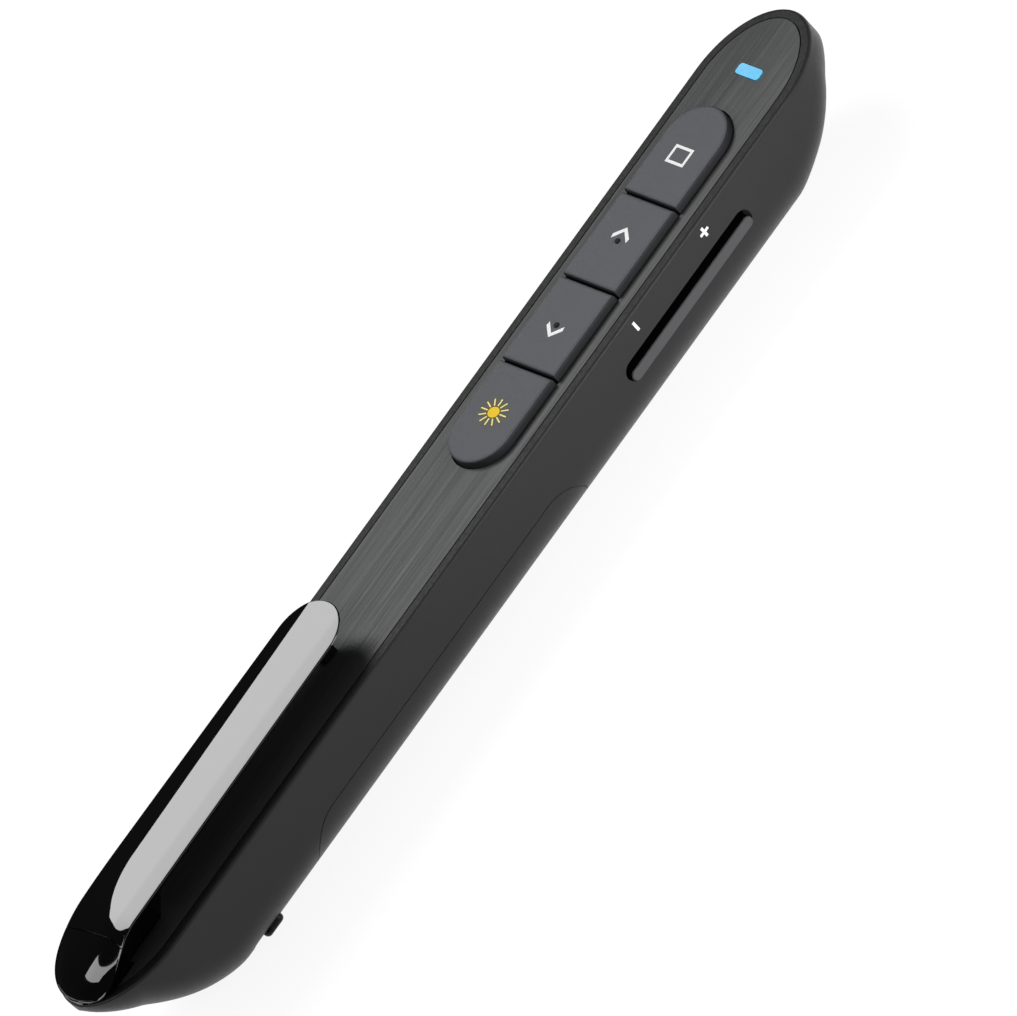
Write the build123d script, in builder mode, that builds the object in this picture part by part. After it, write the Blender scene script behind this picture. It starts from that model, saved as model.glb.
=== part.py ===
"""Wireless presentation clicker: a slim hand-held remote that lies on its flat underside.

Frame: +X towards the nose, +Y to the left of the keys, +Z up; origin at the middle of the
underside. Millimetres.
"""

import math
import os

from build123d import *

os.makedirs("parts", exist_ok=True)

# Body
body_length = 145.0
body_width = 16.2
body_height = 13.6
wall = 1.6
lower_corner_radius = 6.0
nose_plan_length = 11.0
tail_plan_length = 11.8
nose_rise_length = 16.5
tail_rise_length = 17.5
nose_lip = 4.5
tail_lip = 2.0
nose_rise_power = 1.4
tail_rise_power = 1.6
end_sections = 12
end_angle = 84.0
corner_limit = 0.94

# Face plate
rim_width = 1.35
plate_thickness = 1.2
plate_gap = 0.08
cut_over = 1.0

# Keys
pad_from_nose = 14.9
pad_lap = 1.1
end_key_extra = 1.35
pad_side_inset = 3.35
key_height = 1.1
key_slot = 0.36
key_gap = 0.22
key_flange_width = 0.6
key_flange_thickness = 0.7
key_flange_drop = 0.2
key_stem_radius = 1.3
key_edge_radius = 0.45
key_travel = 0.35
dot_radius = 0.35
dot_height = 0.16
dot_taper = 20.0

# Main board
board_thickness = 1.0
board_side_gap = 0.6
board_drop = 3.2
board_rear_gap = 1.6
board_from_nose = 7.1
board_corner_radius = 3.0
switch_size = 4.4
switch_corner_radius = 0.4
switch_height = 1.2
switch_floor = 0.3
plunger_radius = 1.0
plunger_length = 0.8
plunger_gap = 0.1
plunger_over_travel = 0.1

# Screws
screw_radius = 0.75
screw_head_radius = 1.4
screw_head_height = 0.8
screw_gap = 0.06
screw_length = 4.0
screw_slot_width = 0.3
post_wall = 0.8
screw_from_board_end = 7.4
screw_from_board_side = 1.1

# Chips under the main board; lengths are shares of the room between the rear screw and the laser
chip_room_gap = 1.0
radio_share = 0.38
radio_side_gap = 0.6
radio_height = 1.8
chip_share = 0.2
chip_side_gap = 2.2
chip_height = 0.9
chip_gap_share = 0.06
crystal_share = 0.1
crystal_width = 1.2
crystal_height = 0.7
crystal_offset = 3.0
chips_switch_gap = 0.7
antenna_from_end = 5.0
antenna_runs = 4
antenna_pitch = 1.0
antenna_width = 5.0
antenna_line = 0.35
antenna_thickness = 0.1

# Battery and its cradle
cell_can_length = 43.5
cell_edge_radius = 0.4
cell_nub_radius = 1.9
cell_nub_length = 1.0
cell_from_tail = 34.3
cell_gap = 0.15
spring_length = 2.5
spring_radius = 3.0
spring_wire_radius = 0.25
spring_turns = 3
contact_thickness = 0.5
contact_size = 6.0
bulkhead_thickness = 1.2
bulkhead_foot_width = 3.0
bulkhead_foot_height = 1.0
chassis_gap = 0.12
rail_width = 1.35
rail_height = 2.1
board_arm_width = 1.6
board_arm_length = 7.0
board_arm_thickness = 1.4

# Battery cover
cover_rear_lap = 0.5
cover_front_lap = 6.2
cover_drop = 7.0
cover_corner_radius = 5.5
cover_gap = 0.1

# Indicator
lens_from_nose = 9.1
lens_width = 4.1
lens_length = 1.5
lens_corner_radius = 0.45
lens_proud = 0.08
lens_gap = 0.08
lens_flange_width = 0.6
lens_flange_thickness = 0.6
led_length = 1.6
led_width = 2.8
led_height = 0.8

# Laser
barrel_share = 0.435
barrel_gap = 0.1
barrel_wall = 0.8
barrel_from_nose = 26.0
barrel_length = 11.6
diode_length = 3.4
laser_lens_length = 1.2
laser_lens_inset = 0.8
laser_boss_radius = 2.3
laser_boss_gap = 0.6
laser_bore_radius = 1.2
window_radius = 1.6
window_thickness = 0.9
driver_length = 6.5
driver_width = 5.2
driver_thickness = 1.0
saddle_thickness = 1.2

# Volume rocker
rocker_ahead = 5.5
rocker_slot_length = 24.5
rocker_slot_height = 2.9
rocker_slot_drop = 5.6
rocker_bar_length = 23.7
rocker_bar_height = 1.5
rocker_bar_offset = 0.5
rocker_proud = 0.35
rocker_edge_radius = 0.2
rocker_slot_depth = 1.9
rocker_wall_gap = 0.4
rocker_carrier_thickness = 0.5
rocker_carrier_length = 26.0
rocker_carrier_height = 3.8
rocker_boss_radius = 0.55
pin_radius = 0.3
pin_gap = 0.03
lug_thickness = 0.8
lug_length = 2.2
lug_reach = 0.55
lug_gap = 0.1
side_switch_spacing = 19.0
side_switch_length = 3.5
side_switch_share = 0.46
side_switch_height = 1.7
side_plunger_length = 0.85
side_plunger_width = 1.4
side_plunger_height = 0.9
side_plunger_gap = 0.14
side_well_depth = 0.9

# Power switch, set square to the lower right corner of the body
knob_from_cell = 12.2
knob_angle = 49.0
knob_length = 3.2
knob_width = 1.9
knob_proud = 0.67
knob_edge_radius = 0.6
knob_slot_depth = 1.85
knob_travel = 2.0
knob_gap = 0.2
knob_stem_length = 1.6
knob_stem_width = 1.0
knob_flange_length = 6.4
knob_flange_width = 2.6
knob_flange_thickness = 0.4
knob_flange_gap = 0.3
power_switch_length = 7.0
power_switch_width = 3.0
power_switch_depth = 2.1
power_groove_depth = 1.1
power_groove_gap = 0.2
power_board_width = 4.6
power_board_thickness = 0.8
seat_length = 1.0
seat_gap = 0.3

# Clip
clip_side_inset = 2.9
clip_rise = 4.6
clip_arm_length = 44.3
clip_thickness = 2.0
clip_from_tail = 11.0
clip_knuckle_radius = 2.6
clip_seam = 0.15
clip_underside_gap = 0.5
clip_foot_thickness = 0.2
clip_facet_width = 2.4
clip_facet_drop = 0.5
clip_end_inset = 0.15
clip_lug_share = 0.23
clip_lug_radius = 1.3
clip_slot_share = 0.62
clip_slot_radius = 1.65
clip_pin_radius = 0.6
clip_pin_gap = 0.05
clip_pin_fit = 0.01
clip_pin_inset = 1.0
clip_nub_from_tip = 3.3
clip_nub_length = 2.0
clip_nub_gap = 0.15
clip_spring_radius = 1.25
clip_spring_gap = 0.5
clip_screw_from_hinge = 5.1
clip_screw_spacing = 4.4

# Places worked out from the sizes above
half_length = body_length / 2
half_width = body_width / 2
plate_bottom = body_height - plate_thickness
key_top = body_height + key_height
board_top = plate_bottom - board_drop
board_bottom = board_top - board_thickness
cell_radius = (plate_bottom - wall) / 2 - cell_gap
cell_height = wall + cell_gap + cell_radius
cell_rear = cell_from_tail - half_length
cell_front = cell_rear + cell_can_length + cell_nub_length
rear_bulkhead = cell_rear - spring_length - bulkhead_thickness
front_bulkhead = cell_front + contact_thickness
cover_rear = rear_bulkhead + cover_rear_lap
cover_front = front_bulkhead + cover_front_lap
cover_height = body_height - cover_drop
pad_rear = front_bulkhead - pad_lap
pad_length = half_length - pad_from_nose - pad_rear
pad_width = body_width - 2 * pad_side_inset
pad_middle = pad_rear + pad_length / 2
middle_key_length = (pad_length - 2 * end_key_extra) / 4
end_key_length = middle_key_length + end_key_extra
lens_x = half_length - lens_from_nose
barrel_rear = half_length - barrel_from_nose
board_rear = front_bulkhead + bulkhead_thickness + board_rear_gap
board_front = half_length - board_from_nose
flange_top = plate_bottom - key_flange_drop
flange_bottom = flange_top - key_flange_thickness
plunger_top = board_top + switch_floor + plunger_over_travel + key_travel + plunger_length
rail_bottom = plate_bottom - rail_height
key_room = flange_bottom - key_travel - key_gap
rocker_x = pad_middle + rocker_ahead
rocker_slot_z = body_height - rocker_slot_drop
carrier_outer = half_width - wall - rocker_wall_gap
carrier_inner = carrier_outer - rocker_carrier_thickness
rocker_pin_y = -(carrier_outer + carrier_inner) / 2
board_half_width = carrier_inner - board_side_gap
side_switch_outer = carrier_inner - rocker_wall_gap
side_switch_depth = side_switch_share * board_half_width
chips_right = side_switch_depth + chips_switch_gap - side_switch_outer
radio_width = board_half_width - radio_side_gap - chips_right
chip_width = board_half_width - chip_side_gap - chips_right
barrel_radius = barrel_share * math.sqrt(board_half_width * (board_bottom - wall))
barrel_bore_radius = barrel_radius - barrel_wall
laser_height = board_bottom - barrel_gap - barrel_radius
front_screw_x = board_front - screw_from_board_end
front_screw_y = board_half_width - screw_from_board_side
knob_x = cell_rear - knob_from_cell
clip_width = body_width - 2 * clip_side_inset
clip_top = body_height + clip_rise
clip_hinge_x = clip_from_tail - half_length
clip_hinge_z = clip_top - clip_knuckle_radius
clip_tip = clip_hinge_x + clip_arm_length
clip_nub_x = clip_tip - clip_nub_from_tip
clip_nub_width = clip_width / 2
clip_slot_width = clip_slot_share * clip_width
clip_lug_width = clip_lug_share * clip_width
clip_pin_length = clip_width - 2 * clip_pin_inset
clip_spring_length = (clip_slot_width - clip_lug_width) / 2 - clip_spring_gap
clip_screw_x = clip_hinge_x - clip_screw_from_hinge


def outline_half(x, inset):
    """Half the width of the plan outline at x, set in by inset."""
    plan_length = nose_plan_length if x > 0 else tail_plan_length
    past = max(0.0, abs(x) - (half_length - plan_length)) / (plan_length - inset)
    tip_half = half_width - inset
    return tip_half * math.sqrt(max(math.cos(math.radians(end_angle)) ** 2, 1 - past**2))


def floor_height(x, inset):
    """Height of the underside at x, set in by inset."""
    if x > 0:
        rise_length, lip, power = nose_rise_length, nose_lip, nose_rise_power
    else:
        rise_length, lip, power = tail_rise_length, tail_lip, tail_rise_power
    past = max(0.0, abs(x) - (half_length - rise_length)) / rise_length
    return inset + (body_height - lip) * past**power


def body_section(x, inset, top):
    """Profile of the body at x: flat top, upright sides, rounded lower corners."""
    half = outline_half(x, inset)
    floor = floor_height(x, inset)
    radius = min(lower_corner_radius - inset, corner_limit * half, corner_limit * (top - floor))
    with BuildSketch(Plane.YZ.offset(x)) as section:
        with BuildLine():
            Polyline((-half, top), (-half, floor), (half, floor), (half, top), close=True)
        make_face()
        fillet(section.vertices().group_by(Axis.Y)[0], radius)
    return section.sketch


def body_solid(inset, top):
    """The whole body, set in by inset, up to top: a straight middle and two lofted ends."""
    front = half_length - nose_rise_length
    rear = -(half_length - tail_rise_length)
    turns = [math.radians(end_angle * step / end_sections) for step in range(end_sections + 1)]
    reach = [math.sin(turn) / math.sin(turns[-1]) for turn in turns]
    nose = [body_section(front + (nose_rise_length - inset) * step, inset, top) for step in reach]
    tail = [body_section(rear - (tail_rise_length - inset) * step, inset, top) for step in reach]
    with BuildPart() as solid:
        extrude(body_section(rear, inset, top), amount=front - rear)
        loft(nose, ruled=True)
        loft(tail, ruled=True)
    return solid.part


def plan_outline(inset):
    """Plan outline of the body, set in by inset."""
    front = half_length - nose_plan_length
    rear = -(half_length - tail_plan_length)
    with BuildSketch() as outline:
        with Locations(((front + rear) / 2, 0)):
            Rectangle(front - rear, 2 * (half_width - inset))
        with Locations((front, 0)):
            Ellipse(nose_plan_length - inset, half_width - inset)
        with Locations((rear, 0)):
            Ellipse(tail_plan_length - inset, half_width - inset)
    return outline.sketch


def pad_outline(grow, low=None, high=None):
    """The keys' stadium, grown all round, or its part from x = low to x = high."""
    with BuildSketch() as outline:
        with Locations((pad_middle, 0)):
            SlotOverall(pad_length + 2 * grow, pad_width + 2 * grow)
        if low is not None:
            with Locations(((low + high) / 2, 0)):
                Rectangle(high - low, body_width, mode=Mode.INTERSECT)
    return outline.sketch


def block(low, high):
    """A box between two corners, kept apart from any part being built."""
    size = [top - bottom for bottom, top in zip(low, high)]
    with BuildPart() as piece:
        Box(*size, align=(Align.MIN, Align.MIN, Align.MIN))
    return Pos(*low) * piece.part


def rod(start, direction, radius, length):
    """A cylinder from start along direction, kept apart from any part being built."""
    with BuildPart(Plane(origin=start, z_dir=direction)) as piece:
        Cylinder(radius, length, align=(Align.CENTER, Align.CENTER, Align.MIN))
    return piece.part


def save(piece, name):
    """Label a finished piece and write its STEP file."""
    piece.label = name
    export_step(piece, f"parts/{name}.step")


# Keys run from the tail end of the pad to its nose end
key_names = ("key_laser", "key_page_down", "key_page_up", "key_window")
key_lengths = (end_key_length, middle_key_length, middle_key_length, end_key_length)
key_lows = [pad_rear + sum(key_lengths[:index]) for index in range(len(key_lengths))]
key_middles = [low + length / 2 for low, length in zip(key_lows, key_lengths)]

rear_screw = ((key_middles[0] + key_middles[1]) / 2, 0)
board_screw_places = [rear_screw, (front_screw_x, front_screw_y), (front_screw_x, -front_screw_y)]
clip_screw_places = [(clip_screw_x, side * clip_screw_spacing / 2) for side in (-1, 1)]
side_switch_places = [rocker_x + side * side_switch_spacing / 2 for side in (-1, 1)]

outer = body_solid(0, body_height)
cavity = body_solid(wall, plate_bottom)

# Plane square to the lower right corner: local X along the body, local Z outwards
corner_y = -(half_width - lower_corner_radius)
corner_turn = math.radians(knob_angle)
outward = (0, -math.cos(corner_turn), -math.sin(corner_turn))
knob_plane = Plane(
    origin=(
        knob_x,
        corner_y + lower_corner_radius * outward[1],
        lower_corner_radius + lower_corner_radius * outward[2],
    ),
    x_dir=(1, 0, 0),
    z_dir=outward,
)
knob_flange_depth = wall + knob_flange_gap
power_switch_depth_start = knob_flange_depth + knob_flange_thickness + knob_gap
power_board_depth = power_switch_depth_start + power_switch_depth
knob_rear_reach = knob_flange_length / 2 + knob_travel + seat_gap
knob_front_reach = max(knob_flange_length, power_switch_length) / 2 + seat_gap

# What stands inside the body shell: screw posts, laser saddles and boss, rocker lugs, switch seats
with BuildPart() as shell_fittings:
    for x, y in board_screw_places:
        with BuildSketch(Plane.XY):
            with Locations((x, y)):
                Circle(screw_radius + post_wall)
        extrude(amount=board_bottom)
    for x in (barrel_rear + saddle_thickness, barrel_rear + barrel_length - 2 * saddle_thickness):
        add(block((x, -barrel_radius, 0), (x + saddle_thickness, barrel_radius, laser_height)))
    boss_rear = barrel_rear + barrel_length + laser_boss_gap
    add(rod((boss_rear, 0, laser_height), (1, 0, 0), laser_boss_radius, half_length - boss_rear))
    lug_half = rocker_carrier_height / 2 + lug_gap
    for bottom in (rocker_slot_z - lug_half - lug_thickness, rocker_slot_z + lug_half):
        add(
            block(
                (rocker_x - lug_length / 2, -half_width, bottom),
                (rocker_x + lug_length / 2, rocker_pin_y + lug_reach, bottom + lug_thickness),
            )
        )
    for low in (knob_front_reach, -knob_rear_reach - seat_length):
        with BuildSketch(knob_plane.offset(-power_board_depth)):
            with Locations((low + seat_length / 2, 0)):
                Rectangle(seat_length, knob_flange_width)
        extrude(amount=power_board_depth)

barrel_hole = rod((barrel_rear, 0, laser_height), (1, 0, 0), barrel_radius, barrel_length)
fittings = (shell_fittings.part & outer) - barrel_hole

with BuildPart() as cover_zone:
    with BuildSketch(Plane.XZ) as cover_side:
        with BuildLine():
            Polyline(
                (cover_rear, -cut_over),
                (cover_front, -cut_over),
                (cover_front, cover_height),
                (cover_rear, cover_height),
                close=True,
            )
        make_face()
        fillet(cover_side.vertices().group_by(Axis.Y)[-1], cover_corner_radius)
    extrude(amount=body_width, both=True)

# Body shell: tub with the plate's pocket, the cover's opening, the slots and the laser bore
with BuildPart() as body_shell:
    add(outer)
    add(cavity, mode=Mode.SUBTRACT)
    add(fittings)
    with BuildSketch(Plane.XY.offset(plate_bottom)):
        add(plan_outline(rim_width))
    extrude(amount=plate_thickness + cut_over, mode=Mode.SUBTRACT)
    add(cover_zone.part, mode=Mode.SUBTRACT)
    with BuildSketch(Plane.XZ.offset(half_width - rocker_slot_depth)):
        with Locations((rocker_x, rocker_slot_z)):
            SlotOverall(rocker_slot_length, rocker_slot_height)
    extrude(amount=rocker_slot_depth + cut_over, mode=Mode.SUBTRACT)
    with BuildSketch(knob_plane.offset(-knob_slot_depth)):
        with Locations((-knob_travel / 2, 0)):
            SlotOverall(knob_length + knob_travel + 2 * knob_gap, knob_width + 2 * knob_gap)
    extrude(amount=knob_slot_depth + cut_over, mode=Mode.SUBTRACT)
    bore_start = (boss_rear - cut_over, 0, laser_height)
    add(rod(bore_start, (1, 0, 0), laser_bore_radius, half_length), mode=Mode.SUBTRACT)
    add(
        rod(bore_start, (1, 0, 0), window_radius, window_thickness + cut_over),
        mode=Mode.SUBTRACT,
    )
    for x, y in board_screw_places:
        start = (x, y, board_bottom - screw_length)
        add(rod(start, (0, 0, 1), screw_radius + screw_gap, screw_length), mode=Mode.SUBTRACT)
    pin_bottom = rocker_slot_z - lug_half - lug_thickness
    pin_length = 2 * (lug_half + lug_thickness)
    add(
        rod((rocker_x, rocker_pin_y, pin_bottom), (0, 0, 1), pin_radius + pin_gap, pin_length),
        mode=Mode.SUBTRACT,
    )
save(body_shell.part, "body_shell")

# Battery cover: the wall inside the opening, less the gap round its edge
with BuildPart() as cover_edge:
    with BuildSketch(Plane.XZ) as edge_side:
        add(cover_side.sketch_local)
        offset(amount=-cover_gap)
    extrude(amount=body_width, both=True)
with BuildPart() as battery_cover:
    add(outer)
    add(cavity, mode=Mode.SUBTRACT)
    add(cover_edge.part, mode=Mode.INTERSECT)
save(battery_cover.part, "battery_cover")

# Face plate
with BuildPart() as face_plate:
    with BuildSketch(Plane.XY.offset(plate_bottom)):
        add(plan_outline(rim_width + plate_gap))
        add(pad_outline(key_gap), mode=Mode.SUBTRACT)
        with Locations((lens_x, 0)):
            RectangleRounded(
                lens_length + 2 * lens_gap,
                lens_width + 2 * lens_gap,
                lens_corner_radius + lens_gap,
                mode=Mode.SUBTRACT,
            )
        with Locations(*clip_screw_places):
            Circle(screw_radius + screw_gap, mode=Mode.SUBTRACT)
    extrude(amount=plate_thickness)
save(face_plate.part, "face_plate")

# Keys, each with the flange that keeps it under the plate and the stem over its switch
for name, low, length, middle in zip(key_names, key_lows, key_lengths, key_middles):
    key_low = low + key_slot / 2
    key_high = low + length - key_slot / 2
    if name == key_names[0]:
        key_low = low
    if name == key_names[-1]:
        key_high = low + length + key_flange_width
    with BuildPart() as key:
        with BuildSketch(Plane.XY.offset(flange_top)):
            add(pad_outline(0, key_low, key_high))
        extrude(amount=key_top - flange_top)
        fillet(key.faces().sort_by(Axis.Z)[-1].edges(), key_edge_radius)
        with BuildSketch(Plane.XY.offset(flange_bottom)):
            add(pad_outline(key_gap + key_flange_width, key_low, key_high))
        extrude(amount=key_flange_thickness)
        with BuildSketch(Plane.XY.offset(plunger_top)):
            with Locations((middle, 0)):
                Circle(key_stem_radius)
        extrude(amount=flange_bottom - plunger_top)
        if name in ("key_page_down", "key_page_up"):
            with BuildSketch(Plane.XY.offset(key_top)):
                with Locations((middle, 0)):
                    Circle(dot_radius)
            extrude(amount=dot_height, taper=dot_taper)
    save(key.part, name)
    with BuildPart() as plunger:
        with BuildSketch(Plane.XY.offset(plunger_top - plunger_length)):
            with Locations((middle, 0)):
                Circle(plunger_radius)
        extrude(amount=plunger_length)
    save(plunger.part, name.replace("key", "plunger"))

# Main board and what stands on it
with BuildPart() as main_board:
    with BuildSketch(Plane.XY.offset(board_bottom)) as board_plan:
        with Locations(((board_rear + board_front) / 2, 0)):
            Rectangle(board_front - board_rear, 2 * board_half_width)
        fillet(board_plan.vertices().group_by(Axis.X)[-1], board_corner_radius)
        with Locations(*board_screw_places):
            Circle(screw_radius + screw_gap, mode=Mode.SUBTRACT)
    extrude(amount=board_thickness)
save(main_board.part, "main_board")

with BuildPart() as key_switches:
    with BuildSketch(Plane.XY.offset(board_top)):
        with Locations(*[(middle, 0) for middle in key_middles]):
            RectangleRounded(switch_size, switch_size, switch_corner_radius)
    extrude(amount=switch_height)
    with BuildSketch(Plane.XY.offset(board_top + switch_floor)):
        with Locations(*[(middle, 0) for middle in key_middles]):
            Circle(plunger_radius + plunger_gap)
    extrude(amount=switch_height, mode=Mode.SUBTRACT)
save(key_switches.part, "key_switches")


def cap_screws(places, seat, shank_direction):
    """Pan-head screws whose heads sit on the face at height seat."""
    with BuildPart() as screws:
        for x, y in places:
            head_bottom = seat if shank_direction < 0 else seat - screw_head_height
            with BuildSketch(Plane.XY.offset(head_bottom)):
                with Locations((x, y)):
                    Circle(screw_head_radius)
            extrude(amount=screw_head_height)
            with BuildSketch(Plane.XY.offset(seat)):
                with Locations((x, y)):
                    Circle(screw_radius)
            extrude(amount=shank_direction * (screw_length - screw_gap))
            drive_top = seat + screw_head_height if shank_direction < 0 else seat
            outer_face = drive_top if shank_direction < 0 else seat - screw_head_height
            with BuildSketch(Plane.XY.offset(outer_face)):
                with Locations((x, y)):
                    Rectangle(screw_head_radius, screw_slot_width)
                    Rectangle(screw_slot_width, screw_head_radius)
            extrude(amount=shank_direction * screw_head_height / 2, mode=Mode.SUBTRACT)
    return screws.part


save(cap_screws(board_screw_places, board_top, -1), "board_screws")
save(cap_screws(clip_screw_places, plate_bottom, 1), "clip_screws")



def under_board(low, share, right, width, height, name):
    """Save a chip on the main board's underside and give back its front end."""
    high = low + share * chip_room
    chip = block((low, right, board_bottom - height), (high, right + width, board_bottom))
    save(chip, name)
    return high + chip_gap_share * chip_room


radio_rear = rear_screw[0] + screw_radius + post_wall + chip_room_gap
chip_room = barrel_rear - radio_rear
chip_rear = under_board(
    radio_rear, radio_share, chips_right, radio_width, radio_height, "radio_shield"
)
crystal_rear = under_board(
    chip_rear, chip_share, chips_right, chip_width, chip_height, "controller_chip"
)
crystal_right = chips_right + crystal_offset
under_board(
    crystal_rear, crystal_share, crystal_right, crystal_width, crystal_height, "radio_crystal"
)

with BuildPart() as board_antenna:
    antenna_rear = board_front - antenna_from_end
    end_offset = (antenna_width - antenna_line) / 2
    with BuildSketch(Plane.XY.offset(board_bottom - antenna_thickness)):
        for step in range(antenna_runs):
            with Locations((antenna_rear + step * antenna_pitch, 0)):
                Rectangle(antenna_line, antenna_width)
        for step in range(antenna_runs - 1):
            side = 1 if step % 2 == 0 else -1
            with Locations((antenna_rear + (step + 0.5) * antenna_pitch, side * end_offset)):
                Rectangle(antenna_pitch + antenna_line, antenna_line)
    extrude(amount=antenna_thickness)
save(board_antenna.part, "board_antenna")

# Indicator
led_top = board_top + led_height
led_low = (lens_x - led_length / 2, -led_width / 2, board_top)
led_high = (lens_x + led_length / 2, led_width / 2, led_top)
save(block(led_low, led_high), "indicator_led")
with BuildPart() as indicator_lens:
    with BuildSketch(Plane.XY.offset(led_top)):
        with Locations((lens_x, 0)):
            RectangleRounded(lens_length, lens_width, lens_corner_radius)
    extrude(amount=body_height + lens_proud - led_top)
    with BuildSketch(Plane.XY.offset(plate_bottom - lens_flange_thickness)):
        with Locations((lens_x, 0)):
            RectangleRounded(
                lens_length + 2 * lens_flange_width,
                lens_width + 2 * lens_flange_width,
                lens_flange_width,
            )
    extrude(amount=lens_flange_thickness)
save(indicator_lens.part, "indicator_lens")

# Laser: barrel with its diode and lens, driver behind it, window in the shell's boss
with BuildPart(Plane(origin=(barrel_rear, 0, laser_height), z_dir=(1, 0, 0))) as laser_barrel:
    Cylinder(barrel_radius, barrel_length, align=(Align.CENTER, Align.CENTER, Align.MIN))
    Cylinder(
        barrel_bore_radius,
        barrel_length,
        align=(Align.CENTER, Align.CENTER, Align.MIN),
        mode=Mode.SUBTRACT,
    )
save(laser_barrel.part, "laser_barrel")
lens_rear = barrel_rear + barrel_length - laser_lens_inset - laser_lens_length
for name, rear, radius, length in (
    ("laser_diode", barrel_rear, barrel_bore_radius, diode_length),
    ("laser_lens", lens_rear, barrel_bore_radius, laser_lens_length),
    ("laser_window", boss_rear, window_radius, window_thickness),
):
    save(rod((rear, 0, laser_height), (1, 0, 0), radius, length), name)
driver_bottom = laser_height - driver_thickness / 2
save(
    block(
        (barrel_rear - driver_length, -driver_width / 2, driver_bottom),
        (barrel_rear, driver_width / 2, driver_bottom + driver_thickness),
    ),
    "laser_driver",
)

# Chassis: two bulkheads joined by rails under the plate, with arms under the board
rail_outer = half_width - wall - chassis_gap
with BuildPart() as chassis:
    for low in (rear_bulkhead, front_bulkhead):
        extrude(body_section(low, wall + chassis_gap, plate_bottom), amount=bulkhead_thickness)
        foot_half = bulkhead_foot_width / 2
        add(
            block(
                (low, -foot_half, wall),
                (low + bulkhead_thickness, foot_half, wall + bulkhead_foot_height),
            )
        )
    for side in (-1, 1):
        near = side * (rail_outer - rail_width)
        far = side * rail_outer
        add(
            block(
                (rear_bulkhead, min(near, far), rail_bottom),
                (front_bulkhead, max(near, far), plate_bottom),
            )
        )
        arm_near = side * (board_half_width - board_arm_width)
        arm_far = side * board_half_width
        arm_rear = front_bulkhead + bulkhead_thickness
        add(
            block(
                (arm_rear, min(arm_near, arm_far), board_bottom - board_arm_thickness),
                (arm_rear + board_arm_length, max(arm_near, arm_far), board_bottom),
            )
        )
    add(
        block(
            (pad_rear - key_gap - key_flange_width, -half_width, key_room),
            (board_rear, half_width, body_height),
        ),
        mode=Mode.SUBTRACT,
    )
save(chassis.part, "chassis")

# Battery with its spring and contact
with BuildPart(Plane(origin=(cell_rear, 0, cell_height), z_dir=(1, 0, 0))) as aaa_cell:
    Cylinder(cell_radius, cell_can_length, align=(Align.CENTER, Align.CENTER, Align.MIN))
    fillet(aaa_cell.edges().filter_by(GeomType.CIRCLE), cell_edge_radius)
    Cylinder(
        cell_nub_radius,
        cell_can_length + cell_nub_length,
        align=(Align.CENTER, Align.CENTER, Align.MIN),
    )
save(aaa_cell.part, "aaa_cell")

coil_height = spring_length - 2 * spring_wire_radius
with BuildPart() as battery_spring:
    with BuildLine() as coil:
        Helix(
            pitch=coil_height / spring_turns,
            height=coil_height,
            radius=spring_radius,
            center=(cell_rear - spring_length + spring_wire_radius, 0, cell_height),
            direction=(1, 0, 0),
        )
    with BuildSketch(Plane(origin=coil.line @ 0, z_dir=coil.line % 0)):
        Circle(spring_wire_radius)
    sweep()
save(battery_spring.part, "battery_spring")
contact_half = contact_size / 2
save(
    block(
        (cell_front, -contact_half, cell_height - contact_half),
        (front_bulkhead, contact_half, cell_height + contact_half),
    ),
    "battery_contact",
)

# Volume rocker: bar in the slot, carrier behind the wall, boss round the pin
with BuildPart() as volume_rocker:
    with BuildSketch(Plane.XZ.offset(carrier_inner)):
        with Locations((rocker_x, rocker_slot_z)):
            Rectangle(rocker_carrier_length, rocker_carrier_height)
    extrude(amount=rocker_carrier_thickness)
    with BuildSketch(Plane.XZ.offset(carrier_outer)):
        with Locations((rocker_x, rocker_slot_z - rocker_bar_offset)):
            SlotOverall(rocker_bar_length, rocker_bar_height)
    extrude(amount=half_width + rocker_proud - carrier_outer)
    fillet(volume_rocker.faces().sort_by(Axis.Y)[0].edges(), rocker_edge_radius)
    boss_bottom = rocker_slot_z - rocker_carrier_height / 2
    boss_start = (rocker_x, rocker_pin_y, boss_bottom)
    add(rod(boss_start, (0, 0, 1), rocker_boss_radius, rocker_carrier_height))
    add(
        rod(boss_start, (0, 0, 1), pin_radius + 2 * pin_gap, rocker_carrier_height),
        mode=Mode.SUBTRACT,
    )
save(volume_rocker.part, "volume_rocker")
save(rod((rocker_x, rocker_pin_y, pin_bottom), (0, 0, 1), pin_radius, pin_length), "rocker_pin")

side_switch_middle = board_bottom - side_switch_height / 2
with BuildPart() as side_switches:
    for x in side_switch_places:
        with BuildSketch(Plane.XZ.offset(side_switch_outer - side_switch_depth)):
            with Locations((x, side_switch_middle)):
                Rectangle(side_switch_length, side_switch_height)
        extrude(amount=side_switch_depth)
        with BuildSketch(Plane.XZ.offset(side_switch_outer - side_well_depth)):
            with Locations((x, side_switch_middle)):
                Rectangle(
                    side_plunger_width + 2 * side_plunger_gap,
                    side_plunger_height + 2 * side_plunger_gap,
                )
        extrude(amount=side_well_depth, mode=Mode.SUBTRACT)
save(side_switches.part, "side_switches")

with BuildPart() as rocker_plungers:
    for x in side_switch_places:
        with BuildSketch(Plane.XZ.offset(carrier_inner - side_plunger_length)):
            with Locations((x, side_switch_middle)):
                Rectangle(side_plunger_width, side_plunger_height)
        extrude(amount=side_plunger_length)
save(rocker_plungers.part, "rocker_plungers")

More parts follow.
